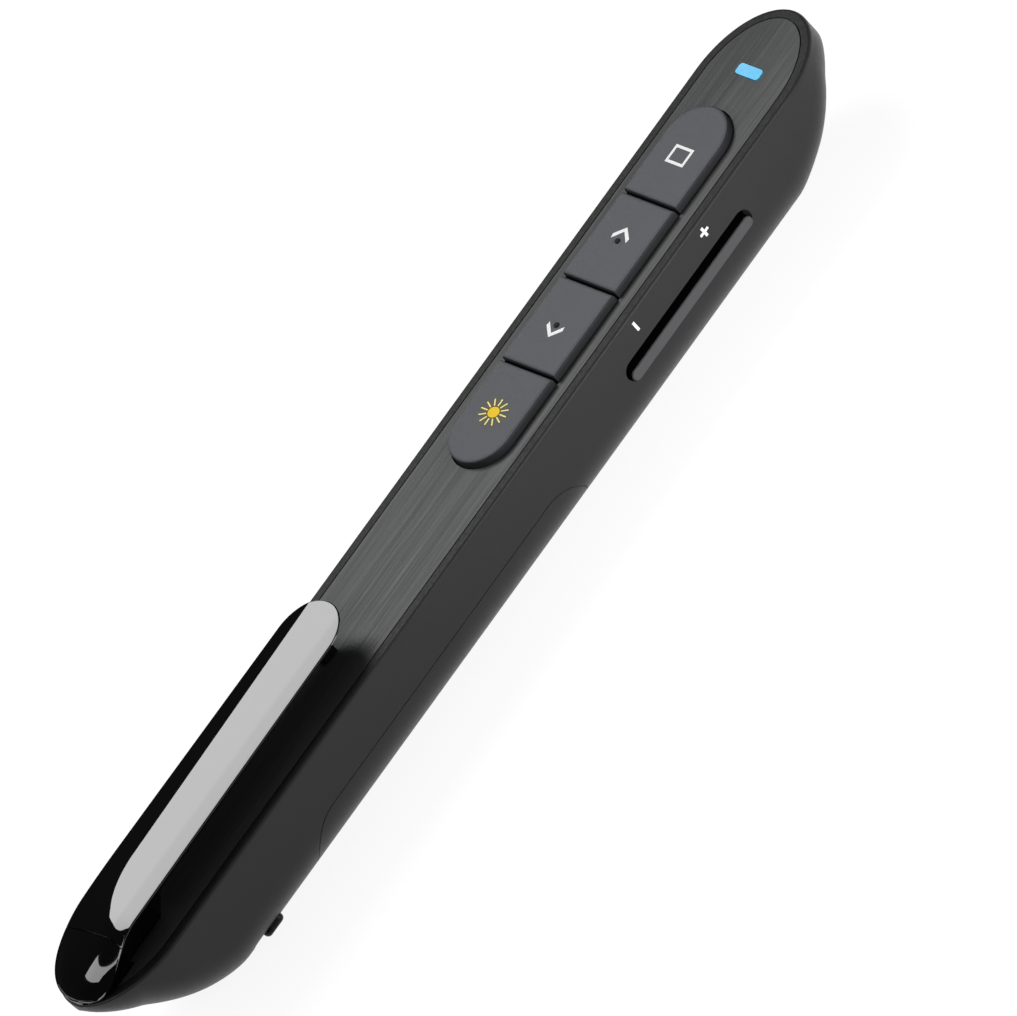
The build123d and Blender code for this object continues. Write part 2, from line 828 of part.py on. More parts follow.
# Power switch
with BuildPart() as power_knob:
    with BuildSketch(knob_plane.offset(-knob_flange_depth)):
        SlotOverall(knob_length, knob_width)
    extrude(amount=knob_flange_depth + knob_proud)
    fillet(power_knob.faces().sort_by(Axis.Z)[0].edges(), knob_edge_radius)
    with BuildSketch(knob_plane.offset(-knob_flange_depth - knob_flange_thickness)):
        Rectangle(knob_flange_length, knob_flange_width)
    extrude(amount=knob_flange_thickness)
    stem_depth = power_switch_depth_start + power_groove_depth - power_groove_gap
    with BuildSketch(knob_plane.offset(-stem_depth)):
        Rectangle(knob_stem_length, knob_stem_width)
    extrude(amount=power_groove_depth - power_groove_gap + knob_gap)
save(power_knob.part, "power_knob")

with BuildPart() as power_switch:
    with BuildSketch(knob_plane.offset(-power_board_depth)):
        Rectangle(power_switch_length, power_switch_width)
    extrude(amount=power_switch_depth)
    with BuildSketch(knob_plane.offset(-power_switch_depth_start)):
        with Locations((-knob_travel / 2, 0)):
            Rectangle(
                knob_stem_length + knob_travel + 2 * knob_gap, knob_stem_width + 2 * knob_gap
            )
    extrude(amount=-power_groove_depth, mode=Mode.SUBTRACT)
save(power_switch.part, "power_switch")

with BuildPart() as power_board:
    front_end = knob_front_reach + seat_length
    rear_end = knob_rear_reach + seat_length
    with BuildSketch(knob_plane.offset(-power_board_depth - power_board_thickness)):
        with Locations(((front_end - rear_end) / 2, 0)):
            Rectangle(front_end + rear_end, power_board_width)
    extrude(amount=power_board_thickness)
save(power_board.part, "power_board")


# Clip: a fixed tail cap that carries a sprung arm
def clip_side_wedges(rear, front):
    """The two sloping facets along the clip's upper edges, as material to take away."""
    with BuildPart() as wedges:
        for side in (-1, 1):
            with BuildSketch(Plane.YZ.offset(rear)):
                with BuildLine():
                    Polyline(
                        (side * (clip_width / 2 - clip_facet_width), clip_top),
                        (side * (clip_width / 2 + clip_facet_width),
                         clip_top - 2 * clip_facet_drop),
                        (side * (clip_width / 2 + clip_facet_width), clip_top + cut_over),
                        (side * (clip_width / 2 - clip_facet_width), clip_top + cut_over),
                        close=True,
                    )
                make_face()
            extrude(amount=front - rear)
    return wedges.part


hinge_start = (clip_hinge_x, -clip_width, clip_hinge_z)
cap_rear = -(half_length - clip_end_inset)
cap_length = clip_hinge_x - cap_rear
with BuildPart() as clip_base:
    with BuildSketch(Plane.XY.offset(body_height)):
        with Locations((clip_hinge_x, 0)):
            Ellipse(cap_length, clip_width / 2)
            Rectangle(
                2 * cap_length,
                2 * clip_width,
                align=(Align.MIN, Align.CENTER),
                mode=Mode.SUBTRACT,
            )
    extrude(amount=clip_rise)
    with BuildSketch(Plane.XZ):
        with Locations((clip_hinge_x, body_height)):
            Ellipse(cap_length, clip_rise)
    extrude(amount=clip_width, both=True, mode=Mode.INTERSECT)
    add(clip_side_wedges(cap_rear - cut_over, clip_hinge_x + cut_over), mode=Mode.SUBTRACT)
    add(
        rod(hinge_start, (0, 1, 0), clip_knuckle_radius + clip_seam, 2 * clip_width),
        mode=Mode.SUBTRACT,
    )
    with BuildSketch(Plane.XZ.offset(-clip_lug_width / 2)):
        with Locations((clip_hinge_x, clip_hinge_z)):
            Circle(clip_lug_radius)
        with Locations((clip_hinge_x, (body_height + clip_hinge_z) / 2)):
            Rectangle(2 * clip_lug_radius, clip_hinge_z - body_height)
        with Locations((clip_hinge_x - clip_knuckle_radius, body_height)):
            Rectangle(
                clip_knuckle_radius,
                clip_foot_thickness,
                align=(Align.MIN, Align.MIN),
            )
    extrude(amount=clip_lug_width)
    add(
        rod(hinge_start, (0, 1, 0), clip_pin_radius + clip_pin_fit, 2 * clip_width),
        mode=Mode.SUBTRACT,
    )
    for x, y in clip_screw_places:
        add(
            rod((x, y, body_height), (0, 0, 1), screw_radius + screw_gap,
                screw_length - plate_thickness),
            mode=Mode.SUBTRACT,
        )
save(clip_base.part, "clip_base")

arm_bottom = clip_top - clip_thickness
root_bottom = body_height + clip_underside_gap
with BuildPart() as pen_clip:
    with BuildSketch(Plane.XY.offset(body_height)):
        tip_middle = clip_tip - clip_width / 2
        with Locations((tip_middle, 0)):
            Circle(clip_width / 2)
            Rectangle(
                tip_middle - clip_hinge_x + 2 * clip_knuckle_radius,
                clip_width,
                align=(Align.MAX, Align.CENTER),
            )
    extrude(amount=clip_rise)
    with BuildSketch(Plane.XZ) as arm_side:
        with Locations((clip_hinge_x, clip_hinge_z)):
            Circle(clip_knuckle_radius)
        with BuildLine():
            Polyline(
                (clip_hinge_x, clip_top),
                (clip_tip + cut_over, clip_top),
                (clip_tip + cut_over, arm_bottom),
                (clip_hinge_x + 2 * clip_knuckle_radius, arm_bottom),
                (clip_hinge_x + clip_knuckle_radius, clip_hinge_z - clip_knuckle_radius / 2),
                (clip_hinge_x, clip_hinge_z - clip_knuckle_radius / 2),
                close=True,
            )
        make_face()
        with Locations((clip_hinge_x, root_bottom)):
            Rectangle(
                8 * clip_knuckle_radius,
                clip_knuckle_radius,
                align=(Align.CENTER, Align.MAX),
                mode=Mode.SUBTRACT,
            )
    extrude(amount=clip_width, both=True, mode=Mode.INTERSECT)
    add(
        clip_side_wedges(clip_hinge_x - clip_knuckle_radius - cut_over, clip_tip + cut_over),
        mode=Mode.SUBTRACT,
    )
    with BuildSketch(Plane.XZ.offset(-clip_slot_width / 2)):
        with Locations((clip_hinge_x, clip_hinge_z)):
            Circle(clip_slot_radius)
            Rectangle(
                2 * clip_slot_radius,
                2 * clip_knuckle_radius,
                align=(Align.CENTER, Align.MAX),
            )
    extrude(amount=clip_slot_width, mode=Mode.SUBTRACT)
    pin_start = (clip_hinge_x, -clip_pin_length / 2 - clip_pin_gap, clip_hinge_z)
    add(
        rod(pin_start, (0, 1, 0), clip_pin_radius + clip_pin_gap,
            clip_pin_length + 2 * clip_pin_gap),
        mode=Mode.SUBTRACT,
    )
    add(
        block(
            (clip_nub_x - clip_nub_length / 2, -clip_nub_width / 2, body_height + clip_nub_gap),
            (clip_nub_x + clip_nub_length / 2, clip_nub_width / 2, arm_bottom),
        )
    )
save(pen_clip.part, "pen_clip")

save(
    rod((clip_hinge_x, -clip_pin_length / 2, clip_hinge_z), (0, 1, 0), clip_pin_radius,
        clip_pin_length),
    "clip_pin",
)
with BuildPart() as clip_springs:
    for side in (-1, 1):
        near = clip_lug_width / 2 if side > 0 else -clip_lug_width / 2 - clip_spring_length
        spring_start = (clip_hinge_x, near, clip_hinge_z)
        add(rod(spring_start, (0, 1, 0), clip_spring_radius, clip_spring_length))
        add(
            rod(spring_start, (0, 1, 0), clip_pin_radius + clip_pin_gap, clip_spring_length),
            mode=Mode.SUBTRACT,
        )
save(clip_springs.part, "clip_springs")
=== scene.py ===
"""Wireless presentation clicker: finishes, formed shells, printed marks and studio.

Frame: +X towards the nose, +Y to the left of the keys, +Z up, on its flat underside.
Sizes are millimetres and angles are degrees. In the finishes a scale is in cycles per metre and a
depth is in metres, and each lamp's distance and size are in metres.
"""

import logging
import math
from collections.abc import Sequence
from dataclasses import dataclass, field
from enum import Enum

import bmesh
import bpy
from mathutils import Matrix, Vector


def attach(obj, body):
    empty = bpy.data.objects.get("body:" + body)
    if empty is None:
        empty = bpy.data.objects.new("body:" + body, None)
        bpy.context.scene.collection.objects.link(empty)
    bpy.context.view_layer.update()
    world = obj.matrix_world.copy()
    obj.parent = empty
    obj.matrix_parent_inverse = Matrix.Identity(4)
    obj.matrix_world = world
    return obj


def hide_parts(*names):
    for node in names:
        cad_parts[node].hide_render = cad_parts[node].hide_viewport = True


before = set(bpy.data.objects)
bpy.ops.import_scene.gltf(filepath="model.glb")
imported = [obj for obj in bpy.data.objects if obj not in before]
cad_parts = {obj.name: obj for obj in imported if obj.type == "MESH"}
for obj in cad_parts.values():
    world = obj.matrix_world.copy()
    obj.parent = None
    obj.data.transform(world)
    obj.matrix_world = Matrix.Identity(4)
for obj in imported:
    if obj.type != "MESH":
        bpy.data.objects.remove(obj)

log = logging.getLogger("clicker")
MM = 0.001
SMOOTH_ANGLE = math.radians(32)
WELD_DISTANCE = 1e-7
NOISE_SPAN = (0.3, 0.7)

Point = tuple[float, float, float]
Flat = tuple[float, float]
Colour = tuple[float, float, float]
Station = tuple[float, float, float]
QUARTER_TURN = 90.0
NOSE_HALF = (-QUARTER_TURN, QUARTER_TURN)
TAIL_HALF = (QUARTER_TURN, 3 * QUARTER_TURN)


class Body(Enum):
    """The frame's bodies that carry a piece of this script."""

    ROOT = "root"
    COVER = "cover"
    CLIP = "clip"
    LASER_KEY = "laser_key"
    DOWN_KEY = "down_key"
    UP_KEY = "up_key"
    WINDOW_KEY = "window_key"


class Axis(Enum):
    """The axes of object space."""

    X = "X"
    Y = "Y"
    Z = "Z"


class Mix(Enum):
    """What a second solid does to a first one."""

    CUT = "DIFFERENCE"
    JOIN = "UNION"
    KEEP = "INTERSECT"


class Way(Enum):
    """The ends of the body that a sign can point at, as a direction along X."""

    NOSE = 1
    TAIL = -1


class Side(Enum):
    """The two sides of the clip, as a direction along Y."""

    NEAR = -1
    FAR = 1


class Sign(Enum):
    """The volume signs on the flank, each with its piece's name."""

    PLUS = "mark_plus"
    MINUS = "mark_minus"


# ---------------------------------------------------------------- finishes


class Shader:
    """A material whose node tree is written from left to right."""

    def __init__(self, name: str) -> None:
        """Start a material with a Principled shader and its output.

        Args:
            name: the material's name.
        """
        self.material = bpy.data.materials.new(name)
        self.material.use_nodes = True
        self.tree = self.material.node_tree
        self.tree.nodes.clear()
        self.output = self.node("ShaderNodeOutputMaterial")
        self.surface = self.node("ShaderNodeBsdfPrincipled")
        self.link(self.surface.outputs["BSDF"], self.output.inputs["Surface"])

    def node(self, kind: str, **values: object) -> bpy.types.Node:
        """Add a node.

        Args:
            kind: the node's type name.
            values: properties to set; a trailing underscore sets the input of that name.

        Returns:
            The new node.
        """
        made = self.tree.nodes.new(kind)
        for key, value in values.items():
            if key.endswith("_"):
                made.inputs[key[:-1].replace("_", " ")].default_value = value
            else:
                setattr(made, key, value)
        return made

    def link(self, source: bpy.types.NodeSocket, target: bpy.types.NodeSocket) -> None:
        """Join a source socket to a target socket."""
        self.tree.links.new(source, target)

    def place(self, scale: Point) -> bpy.types.NodeSocket:
        """Object coordinates stretched by scale.

        Args:
            scale: the factor along each axis, per metre.

        Returns:
            The stretched coordinates' socket.
        """
        coordinates = self.node("ShaderNodeTexCoord")
        mapping = self.node("ShaderNodeMapping", Scale_=scale)
        self.link(coordinates.outputs["Object"], mapping.inputs["Vector"])
        return mapping.outputs["Vector"]

    def noise(self, scale: Point, detail: float = 3.0) -> bpy.types.NodeSocket:
        """Smooth noise in object space.

        Args:
            scale: cycles per metre along each axis.
            detail: octaves of finer noise.

        Returns:
            The noise factor's socket.
        """
        texture = self.node("ShaderNodeTexNoise", Scale_=1.0, Detail_=detail)
        self.link(self.place(scale), texture.inputs["Vector"])
        return texture.outputs["Fac"]

    def between(
        self, factor: bpy.types.NodeSocket, low: float, high: float
    ) -> bpy.types.NodeSocket:
        """Map the span that smooth noise mostly keeps to onto low to high.

        Args:
            factor: the socket to map.
            low: the result at the span's start and below it.
            high: the result at the span's end and above it.

        Returns:
            The mapped value's socket.
        """
        mapped = self.node("ShaderNodeMapRange")
        mapped.inputs["From Min"].default_value = NOISE_SPAN[0]
        mapped.inputs["From Max"].default_value = NOISE_SPAN[1]
        mapped.inputs["To Min"].default_value = low
        mapped.inputs["To Max"].default_value = high
        self.link(factor, mapped.inputs["Value"])
        return mapped.outputs["Result"]

    def tint(
        self,
        factor: bpy.types.NodeSocket,
        low: Colour | bpy.types.NodeSocket,
        high: Colour | bpy.types.NodeSocket,
    ) -> bpy.types.NodeSocket:
        """Blend two colours by a factor.

        Args:
            factor: 0 gives low and 1 gives high.
            low: the first colour.
            high: the second colour.

        Returns:
            The blended colour's socket.
        """
        mixed = self.node("ShaderNodeMix", data_type="RGBA")
        self.link(factor, mixed.inputs["Factor"])
        ends = [socket for socket in mixed.inputs if socket.type == "RGBA"]
        for socket, colour in zip(ends, (low, high)):
            if isinstance(colour, bpy.types.NodeSocket):
                self.link(colour, socket)
            else:
                socket.default_value = (*colour, 1)
        return next(out for out in mixed.outputs if out.type == "RGBA")

    def within(self, axis: Axis, span: Flat) -> bpy.types.NodeSocket:
        """Whether a place lies within a span of one object axis.

        Args:
            axis: the axis to look along.
            span: the lowest and highest coordinate, in millimetres.

        Returns:
            The socket, 1 inside and 0 outside.
        """
        coordinates = self.node("ShaderNodeTexCoord")
        axes = self.node("ShaderNodeSeparateXYZ")
        inside = self.node("ShaderNodeMath", operation="COMPARE")
        inside.inputs[1].default_value = (span[0] + span[1]) / 2 * MM
        inside.inputs[2].default_value = (span[1] - span[0]) / 2 * MM
        self.link(coordinates.outputs["Object"], axes.inputs["Vector"])
        self.link(axes.outputs[axis.value], inside.inputs[0])
        return inside.outputs[0]

    def bump(self, height: bpy.types.NodeSocket, depth: float, strength: float) -> None:
        """Raise the surface by a height factor.

        Args:
            height: the socket that holds the height.
            depth: the full height in metres.
            strength: how much of it is seen.
        """
        raised = self.node("ShaderNodeBump", Strength_=strength, Distance_=depth)
        self.link(height, raised.inputs["Height"])
        self.link(raised.outputs["Normal"], self.surface.inputs["Normal"])

    def set(self, **values: object) -> None:
        """Set the Principled shader's inputs; underscores stand for spaces."""
        for key, value in values.items():
            self.surface.inputs[key.replace("_", " ")].default_value = value


def shade(colour: Colour, factor: float) -> Colour:
    """A colour made lighter or darker by a factor."""
    return tuple(min(1.0, channel * factor) for channel in colour)


@dataclass(frozen=True)
class MouldedPlastic:
    """Moulded plastic or rubber with a fine grain and a faint uneven tone, and painted shade
    outside an optional span.
    """

    name: str
    colour: Colour
    roughness: float = 0.45
    grain: float = 2600.0
    grain_depth: float = 0.00002
    grain_strength: float = 0.25
    grain_detail: float = 2.0
    mottle: float = 0.06
    mottle_scale: float = 90.0
    mottle_detail: float = 4.0
    roughness_spread: float = 0.05
    specular: float = 0.5
    sheen: float = 0.0
    # Painted shade: along the chosen axis, outside the given span in millimetres, the colour is
    # scaled down by the share.
    shade_axis: Axis = Axis.Z
    unshaded_span: Flat = (-1000.0, 1000.0)
    painted_shade_share: float = 1.0

    def material(self) -> bpy.types.Material:
        """Build the material, with painted shade, a darker colour, where it lies outside its span.

        Returns:
            The new material.
        """
        shader = Shader(self.name)
        broad = shader.noise((self.mottle_scale,) * 3, self.mottle_detail)
        colour = shader.tint(
            broad, shade(self.colour, 1 - self.mottle), shade(self.colour, 1 + self.mottle)
        )
        # Painted shade: outside the span the colour is darkened to stand in for shade on walls and
        # in recesses.
        if self.painted_shade_share != 1:
            inside = shader.within(self.shade_axis, self.unshaded_span)
            colour = shader.tint(inside, shade(self.colour, self.painted_shade_share), colour)
        shader.link(colour, shader.surface.inputs["Base Color"])
        fine = shader.noise((self.grain,) * 3, self.grain_detail)
        spread = self.roughness_spread
        rough = shader.between(fine, self.roughness - spread, self.roughness + spread)
        shader.link(rough, shader.surface.inputs["Roughness"])
        shader.bump(fine, self.grain_depth, self.grain_strength)
        shader.set(IOR=1.5, Specular_IOR_Level=self.specular, Sheen_Weight=self.sheen)
        return shader.material


@dataclass(frozen=True)
class BrushedMetal:
    """Dark anodised metal brushed along the body."""

    name: str
    colour: Colour
    light: float = 1.25
    dark: float = 0.8
    roughness: float = 0.42
    metallic: float = 0.35
    along: float = 90.0
    across: float = 5200.0
    through: float = 40.0
    fine_detail: float = 5.0
    broad_share: float = 0.3
    broad_detail: float = 3.0
    roughness_spread: float = 0.1
    mark_depth: float = 0.00002
    mark_strength: float = 0.3

    def material(self) -> bpy.types.Material:
        """Build the material.

        Returns:
            The new material.
        """
        shader = Shader(self.name)
        share = self.broad_share
        fine = shader.noise((self.along, self.across, self.through), self.fine_detail)
        broad = shader.noise(
            (self.along * share, self.across * share, self.through), self.broad_detail
        )
        streaks = shader.node("ShaderNodeMath", operation="ADD")
        shader.link(fine, streaks.inputs[0])
        shader.link(broad, streaks.inputs[1])
        half = shader.node("ShaderNodeMath", operation="MULTIPLY")
        half.inputs[1].default_value = 0.5
        shader.link(streaks.outputs[0], half.inputs[0])
        factor = shader.between(half.outputs[0], 0.0, 1.0)
        colour = shader.tint(factor, shade(self.colour, self.dark), shade(self.colour, self.light))
        shader.link(colour, shader.surface.inputs["Base Color"])
        spread = self.roughness_spread
        rough = shader.between(fine, self.roughness - spread, self.roughness + spread)
        shader.link(rough, shader.surface.inputs["Roughness"])
        shader.bump(fine, self.mark_depth, self.mark_strength)
        shader.set(Metallic=self.metallic, Anisotropic=0.6, Specular_IOR_Level=0.12)
        return shader.material


@dataclass(frozen=True)
class GlossLacquer:
    """Piano-black lacquer with faint wipe marks."""

    name: str
    colour: Colour
    light: float = 1.1
    dark: float = 0.9
    roughness: float = 0.035
    clean_share: float = 0.7
    wiped_share: float = 1.5
    wipe_scale: Point = (60.0, 500.0, 200.0)
    wipe_detail: float = 4.0
    tone_scale: float = 120.0
    tone_detail: float = 2.0

    def material(self) -> bpy.types.Material:
        """Build the material.

        Returns:
            The new material.
        """
        shader = Shader(self.name)
        wipes = shader.noise(self.wipe_scale, self.wipe_detail)
        rough = shader.between(
            wipes, self.roughness * self.clean_share, self.roughness * self.wiped_share
        )
        shader.link(rough, shader.surface.inputs["Roughness"])
        tone = shader.noise((self.tone_scale,) * 3, self.tone_detail)
        colour = shader.tint(tone, shade(self.colour, self.dark), shade(self.colour, self.light))
        shader.link(colour, shader.surface.inputs["Base Color"])
        shader.set(IOR=1.5, Specular_IOR_Level=0.5)
        return shader.material


@dataclass(frozen=True)
class WorkedMetal:
    """Plain drawn or plated metal with fine tool marks."""

    name: str
    colour: Colour
    light: float = 1.1
    dark: float = 0.85
    roughness: float = 0.28
    smoother: float = 0.08
    rougher: float = 0.1
    marks: Point = (900.0, 900.0, 200.0)
    mark_depth: float = 0.00001
    mark_strength: float = 0.2

    def material(self) -> bpy.types.Material:
        """Build the material.

        Returns:
            The new material.
        """
        shader = Shader(self.name)
        lines = shader.noise(self.marks)
        colour = shader.tint(lines, shade(self.colour, self.dark), shade(self.colour, self.light))
        shader.link(colour, shader.surface.inputs["Base Color"])
        rough = shader.between(
            lines, self.roughness - self.smoother, self.roughness + self.rougher
        )
        shader.link(rough, shader.surface.inputs["Roughness"])
        shader.bump(lines, self.mark_depth, self.mark_strength)
        shader.set(Metallic=1.0)
        return shader.material


@dataclass(frozen=True)
class Lens:
    """Clear or tinted plastic with a little light of its own."""

    name: str
    colour: Colour
    glow: float = 0.0
    transmission: float = 0.0
    light: float = 1.05
    dark: float = 0.92
    roughness: float = 0.12
    roughness_share: float = 0.2
    cloud_scale: float = 700.0
    cloud_detail: float = 2.0

    def material(self) -> bpy.types.Material:
        """Build the material.

        Returns:
            The new material.
        """
        shader = Shader(self.name)
        cloud = shader.noise((self.cloud_scale,) * 3, self.cloud_detail)
        colour = shader.tint(cloud, shade(self.colour, self.dark), shade(self.colour, self.light))
        shader.link(colour, shader.surface.inputs["Base Color"])
        spread = self.roughness * self.roughness_share
        rough = shader.between(cloud, self.roughness - spread, self.roughness + spread)
        shader.link(rough, shader.surface.inputs["Roughness"])
        shader.set(
            IOR=1.49,
            Transmission_Weight=self.transmission,
            Emission_Color=(*self.colour, 1),
            Emission_Strength=self.glow,
        )
        return shader.material


@dataclass(frozen=True)
class Ink:
    """Pad-printed ink, a touch thinner in places."""

    name: str
    colour: Colour
    thin: float = 0.93
    speckle_scale: float = 3000.0
    roughness: Flat = (0.5, 0.62)

    def material(self) -> bpy.types.Material:
        """Build the material.

        Returns:
            The new material.
        """
        shader = Shader(self.name)
        speckle = shader.noise((self.speckle_scale,) * 3)
        colour = shader.tint(speckle, shade(self.colour, self.thin), self.colour)
        shader.link(colour, shader.surface.inputs["Base Color"])
        rough = shader.between(speckle, *self.roughness)
        shader.link(rough, shader.surface.inputs["Roughness"])
        shader.set(Specular_IOR_Level=0.1)
        return shader.material


@dataclass(frozen=True)
class BoardLaminate:
    """Green solder mask with buried tracks that show through."""

    name: str
    mask: Colour = (0.01, 0.11, 0.04)
    track: Colour = (0.03, 0.2, 0.08)
    track_scale: Point = (420.0, 700.0, 1.0)
    track_width: float = 0.06
    track_offset: float = 0.35
    track_height: float = 0.00004
    track_strength: float = 0.4

    def material(self) -> bpy.types.Material:
        """Build the material.

        Returns:
            The new material.
        """
        shader = Shader(self.name)
        tracks = shader.node("ShaderNodeTexBrick", Scale_=1.0, Mortar_Size_=self.track_width)
        tracks.offset = self.track_offset
        shader.link(shader.place(self.track_scale), tracks.inputs["Vector"])
        colour = shader.tint(tracks.outputs["Fac"], self.mask, self.track)
        shader.link(colour, shader.surface.inputs["Base Color"])
        shader.bump(tracks.outputs["Fac"], self.track_height, self.track_strength)
        shader.set(Roughness=0.35, Coat_Weight=0.4, Coat_Roughness=0.2)
        return shader.material


@dataclass(frozen=True)
class CellJacket:
    """Printed cell jacket: a dark field and a copper band at its nub end."""

    name: str
    field_colour: Colour = (0.02, 0.03, 0.05)
    band_colour: Colour = (0.5, 0.24, 0.07)
    band_start: float = -8.0
    wear_scale: Point = (200.0, 900.0, 900.0)
    roughness: Flat = (0.2, 0.34)

    def material(self) -> bpy.types.Material:
        """Build the material.

        Returns:
            The new material.
        """
        shader = Shader(self.name)
        coordinates = shader.node("ShaderNodeTexCoord")
        axes = shader.node("ShaderNodeSeparateXYZ")
        shader.link(coordinates.outputs["Object"], axes.inputs["Vector"])
        band = shader.node("ShaderNodeMath", operation="GREATER_THAN")
        band.inputs[1].default_value = self.band_start * MM
        shader.link(axes.outputs[Axis.X.value], band.inputs[0])
        colour = shader.tint(band.outputs[0], self.field_colour, self.band_colour)
        shader.link(colour, shader.surface.inputs["Base Color"])
        wear = shader.noise(self.wear_scale)
        rough = shader.between(wear, *self.roughness)
        shader.link(rough, shader.surface.inputs["Roughness"])
        shader.set(Metallic=0.7, Coat_Weight=0.5, Coat_Roughness=0.1)
        return shader.material


SOFT_BLACK = MouldedPlastic(
    "soft_black", (0.024, 0.024, 0.025), 0.42, specular=0.2, sheen=0.12
)
# Painted shade: a darker black for the rim's flat top, whose lit top would otherwise read
# brighter.
RIM_PAINTED_SHADE = MouldedPlastic("rim_painted_shade", (0.008, 0.008, 0.0085), 0.5, specular=0.16)
KNOB_BLACK = MouldedPlastic("knob_black", (0.008, 0.008, 0.009), 0.4, specular=0.15)
# The keys' rubber with painted shade: below 14.56 mm the key walls get 0.3 of the colour, standing
# in for shade on their sides.
KEY_RUBBER_WALL_SHADE = MouldedPlastic(
    "key_rubber_wall_shade",
    (0.098, 0.1, 0.112),
    0.6,
    mottle=0.02,
    specular=0.2,
    unshaded_span=(14.56, 20.0),
    painted_shade_share=0.3,
)
# The rocker's grey with painted shade: past y -8.15 mm, inside the slot, the carrier gets 0.03 of
# the colour, standing in for the slot's shade.
ROCKER_GREY_SLOT_SHADE = MouldedPlastic(
    "rocker_grey",
    (0.1, 0.1, 0.104),
    0.5,
    specular=0.02,
    shade_axis=Axis.Y,
    unshaded_span=(-20.0, -8.15),
    painted_shade_share=0.03,
)
CHASSIS_BLACK = MouldedPlastic("chassis_black", (0.02, 0.02, 0.021), 0.5)
SWITCH_BLACK = MouldedPlastic("switch_black", (0.015, 0.015, 0.016), 0.4)
SWITCH_WHITE = MouldedPlastic("switch_white", (0.6, 0.6, 0.56), 0.4)
CHIP_BLACK = MouldedPlastic("chip_black", (0.01, 0.01, 0.011), 0.6)
FACE_METAL = BrushedMetal("face_metal", (0.046, 0.047, 0.047))
CLIP_GLOSS = GlossLacquer("clip_gloss", (0.0008, 0.0008, 0.0009))
STEEL = WorkedMetal("steel", (0.56, 0.57, 0.58))
BRASS = WorkedMetal("brass", (0.72, 0.5, 0.2))
COPPER = WorkedMetal("copper", (0.75, 0.36, 0.2))
INDICATOR_BLUE = Lens("indicator_blue", (0.009, 0.45, 0.78), glow=0.1, roughness=0.3)
CLEAR_OPTIC = Lens("clear_optic", (0.85, 0.9, 0.92), transmission=0.85, roughness=0.03)
WHITE_INK = Ink("white_ink", (0.96, 0.96, 0.96))
YELLOW_INK = Ink("yellow_ink", (0.93, 0.62, 0.02))
PALE_INK = Ink("pale_ink", (0.95, 0.88, 0.42))
OLIVE_INK = Ink("olive_ink", (0.14, 0.11, 0.012))
# A dark colour laid over the page keys' raised dots.
DOT_DARK = Ink("dot_dark", (0.01, 0.01, 0.011))
BOARD_GREEN = BoardLaminate("board_green")
CELL_PRINT = CellJacket("cell_print")

Finish = (
    MouldedPlastic
    | BrushedMetal
    | GlossLacquer
    | WorkedMetal
    | Lens
    | Ink
    | BoardLaminate
    | CellJacket
)
NODE_FINISHES: dict[str, Finish] = {
    "battery_cover": SOFT_BLACK,
    "body_shell": SOFT_BLACK,
    "power_knob": KNOB_BLACK,
    "face_plate": FACE_METAL,
    "key_laser": KEY_RUBBER_WALL_SHADE,
    "key_page_down": KEY_RUBBER_WALL_SHADE,
    "key_page_up": KEY_RUBBER_WALL_SHADE,
    "key_window": KEY_RUBBER_WALL_SHADE,
    "pen_clip": CLIP_GLOSS,
    "clip_base": CLIP_GLOSS,
    "volume_rocker": ROCKER_GREY_SLOT_SHADE,
    "indicator_lens": INDICATOR_BLUE,
    "chassis": CHASSIS_BLACK,
    "main_board": BOARD_GREEN,
    "laser_driver": BOARD_GREEN,
    "power_board": BOARD_GREEN,
    "key_switches": SWITCH_BLACK,
    "side_switches": SWITCH_BLACK,
    "power_switch": SWITCH_BLACK,
    "rocker_plungers": SWITCH_WHITE,
    "indicator_led": SWITCH_WHITE,
    "plunger_laser": SWITCH_WHITE,
    "plunger_page_down": SWITCH_WHITE,
    "plunger_page_up": SWITCH_WHITE,
    "plunger_window": SWITCH_WHITE,
    "board_screws": STEEL,
    "clip_screws": STEEL,
    "rocker_pin": STEEL,
    "clip_pin": STEEL,
    "clip_springs": STEEL,
    "battery_spring": STEEL,
    "battery_contact": STEEL,
    "radio_shield": STEEL,
    "radio_crystal": STEEL,
    "laser_diode": STEEL,
    "controller_chip": CHIP_BLACK,
    "board_antenna": COPPER,
    "laser_barrel": BRASS,
    "laser_lens": CLEAR_OPTIC,
    "laser_window": CLEAR_OPTIC,
    "aaa_cell": CELL_PRINT,
}


class FinishShelf:
    """Keeps one material for each finish."""

    def __init__(self) -> None:
        """Start with an empty shelf."""
        self.made: dict[str, bpy.types.Material] = {}

    def get(self, finish: Finish) -> bpy.types.Material:
        """The material of a finish, built on first use.

        Args:
            finish: the finish wanted.

        Returns:
            Its material.
        """
        if finish.name not in self.made:
            self.made[finish.name] = finish.material()
        return self.made[finish.name]


SHELF = FinishShelf()


# ---------------------------------------------------------------- mesh helpers


def mesh_object(
    name: str, points: Sequence[Point], faces: Sequence[Sequence[int]]
) -> bpy.types.Object:
    """Make an object from points in millimetres, welded, with its faces outward.

    Args:
        name: the object's name.
        points: corner places in millimetres.
        faces: corner numbers of each face.

    Returns:
        The new object, linked to the scene.
    """
    work = bmesh.new()
    corners = [work.verts.new(Vector(point) * MM) for point in points]
    for face in faces:
        work.faces.new([corners[index] for index in face])
    bmesh.ops.remove_doubles(work, verts=work.verts, dist=WELD_DISTANCE)
    bmesh.ops.dissolve_degenerate(work, edges=work.edges, dist=WELD_DISTANCE)
    bmesh.ops.recalc_face_normals(work, faces=work.faces)
    mesh = bpy.data.meshes.new(name)
    work.to_mesh(mesh)
    work.free()
    made = bpy.data.objects.new(name, mesh)
    bpy.context.scene.collection.objects.link(made)
    return made


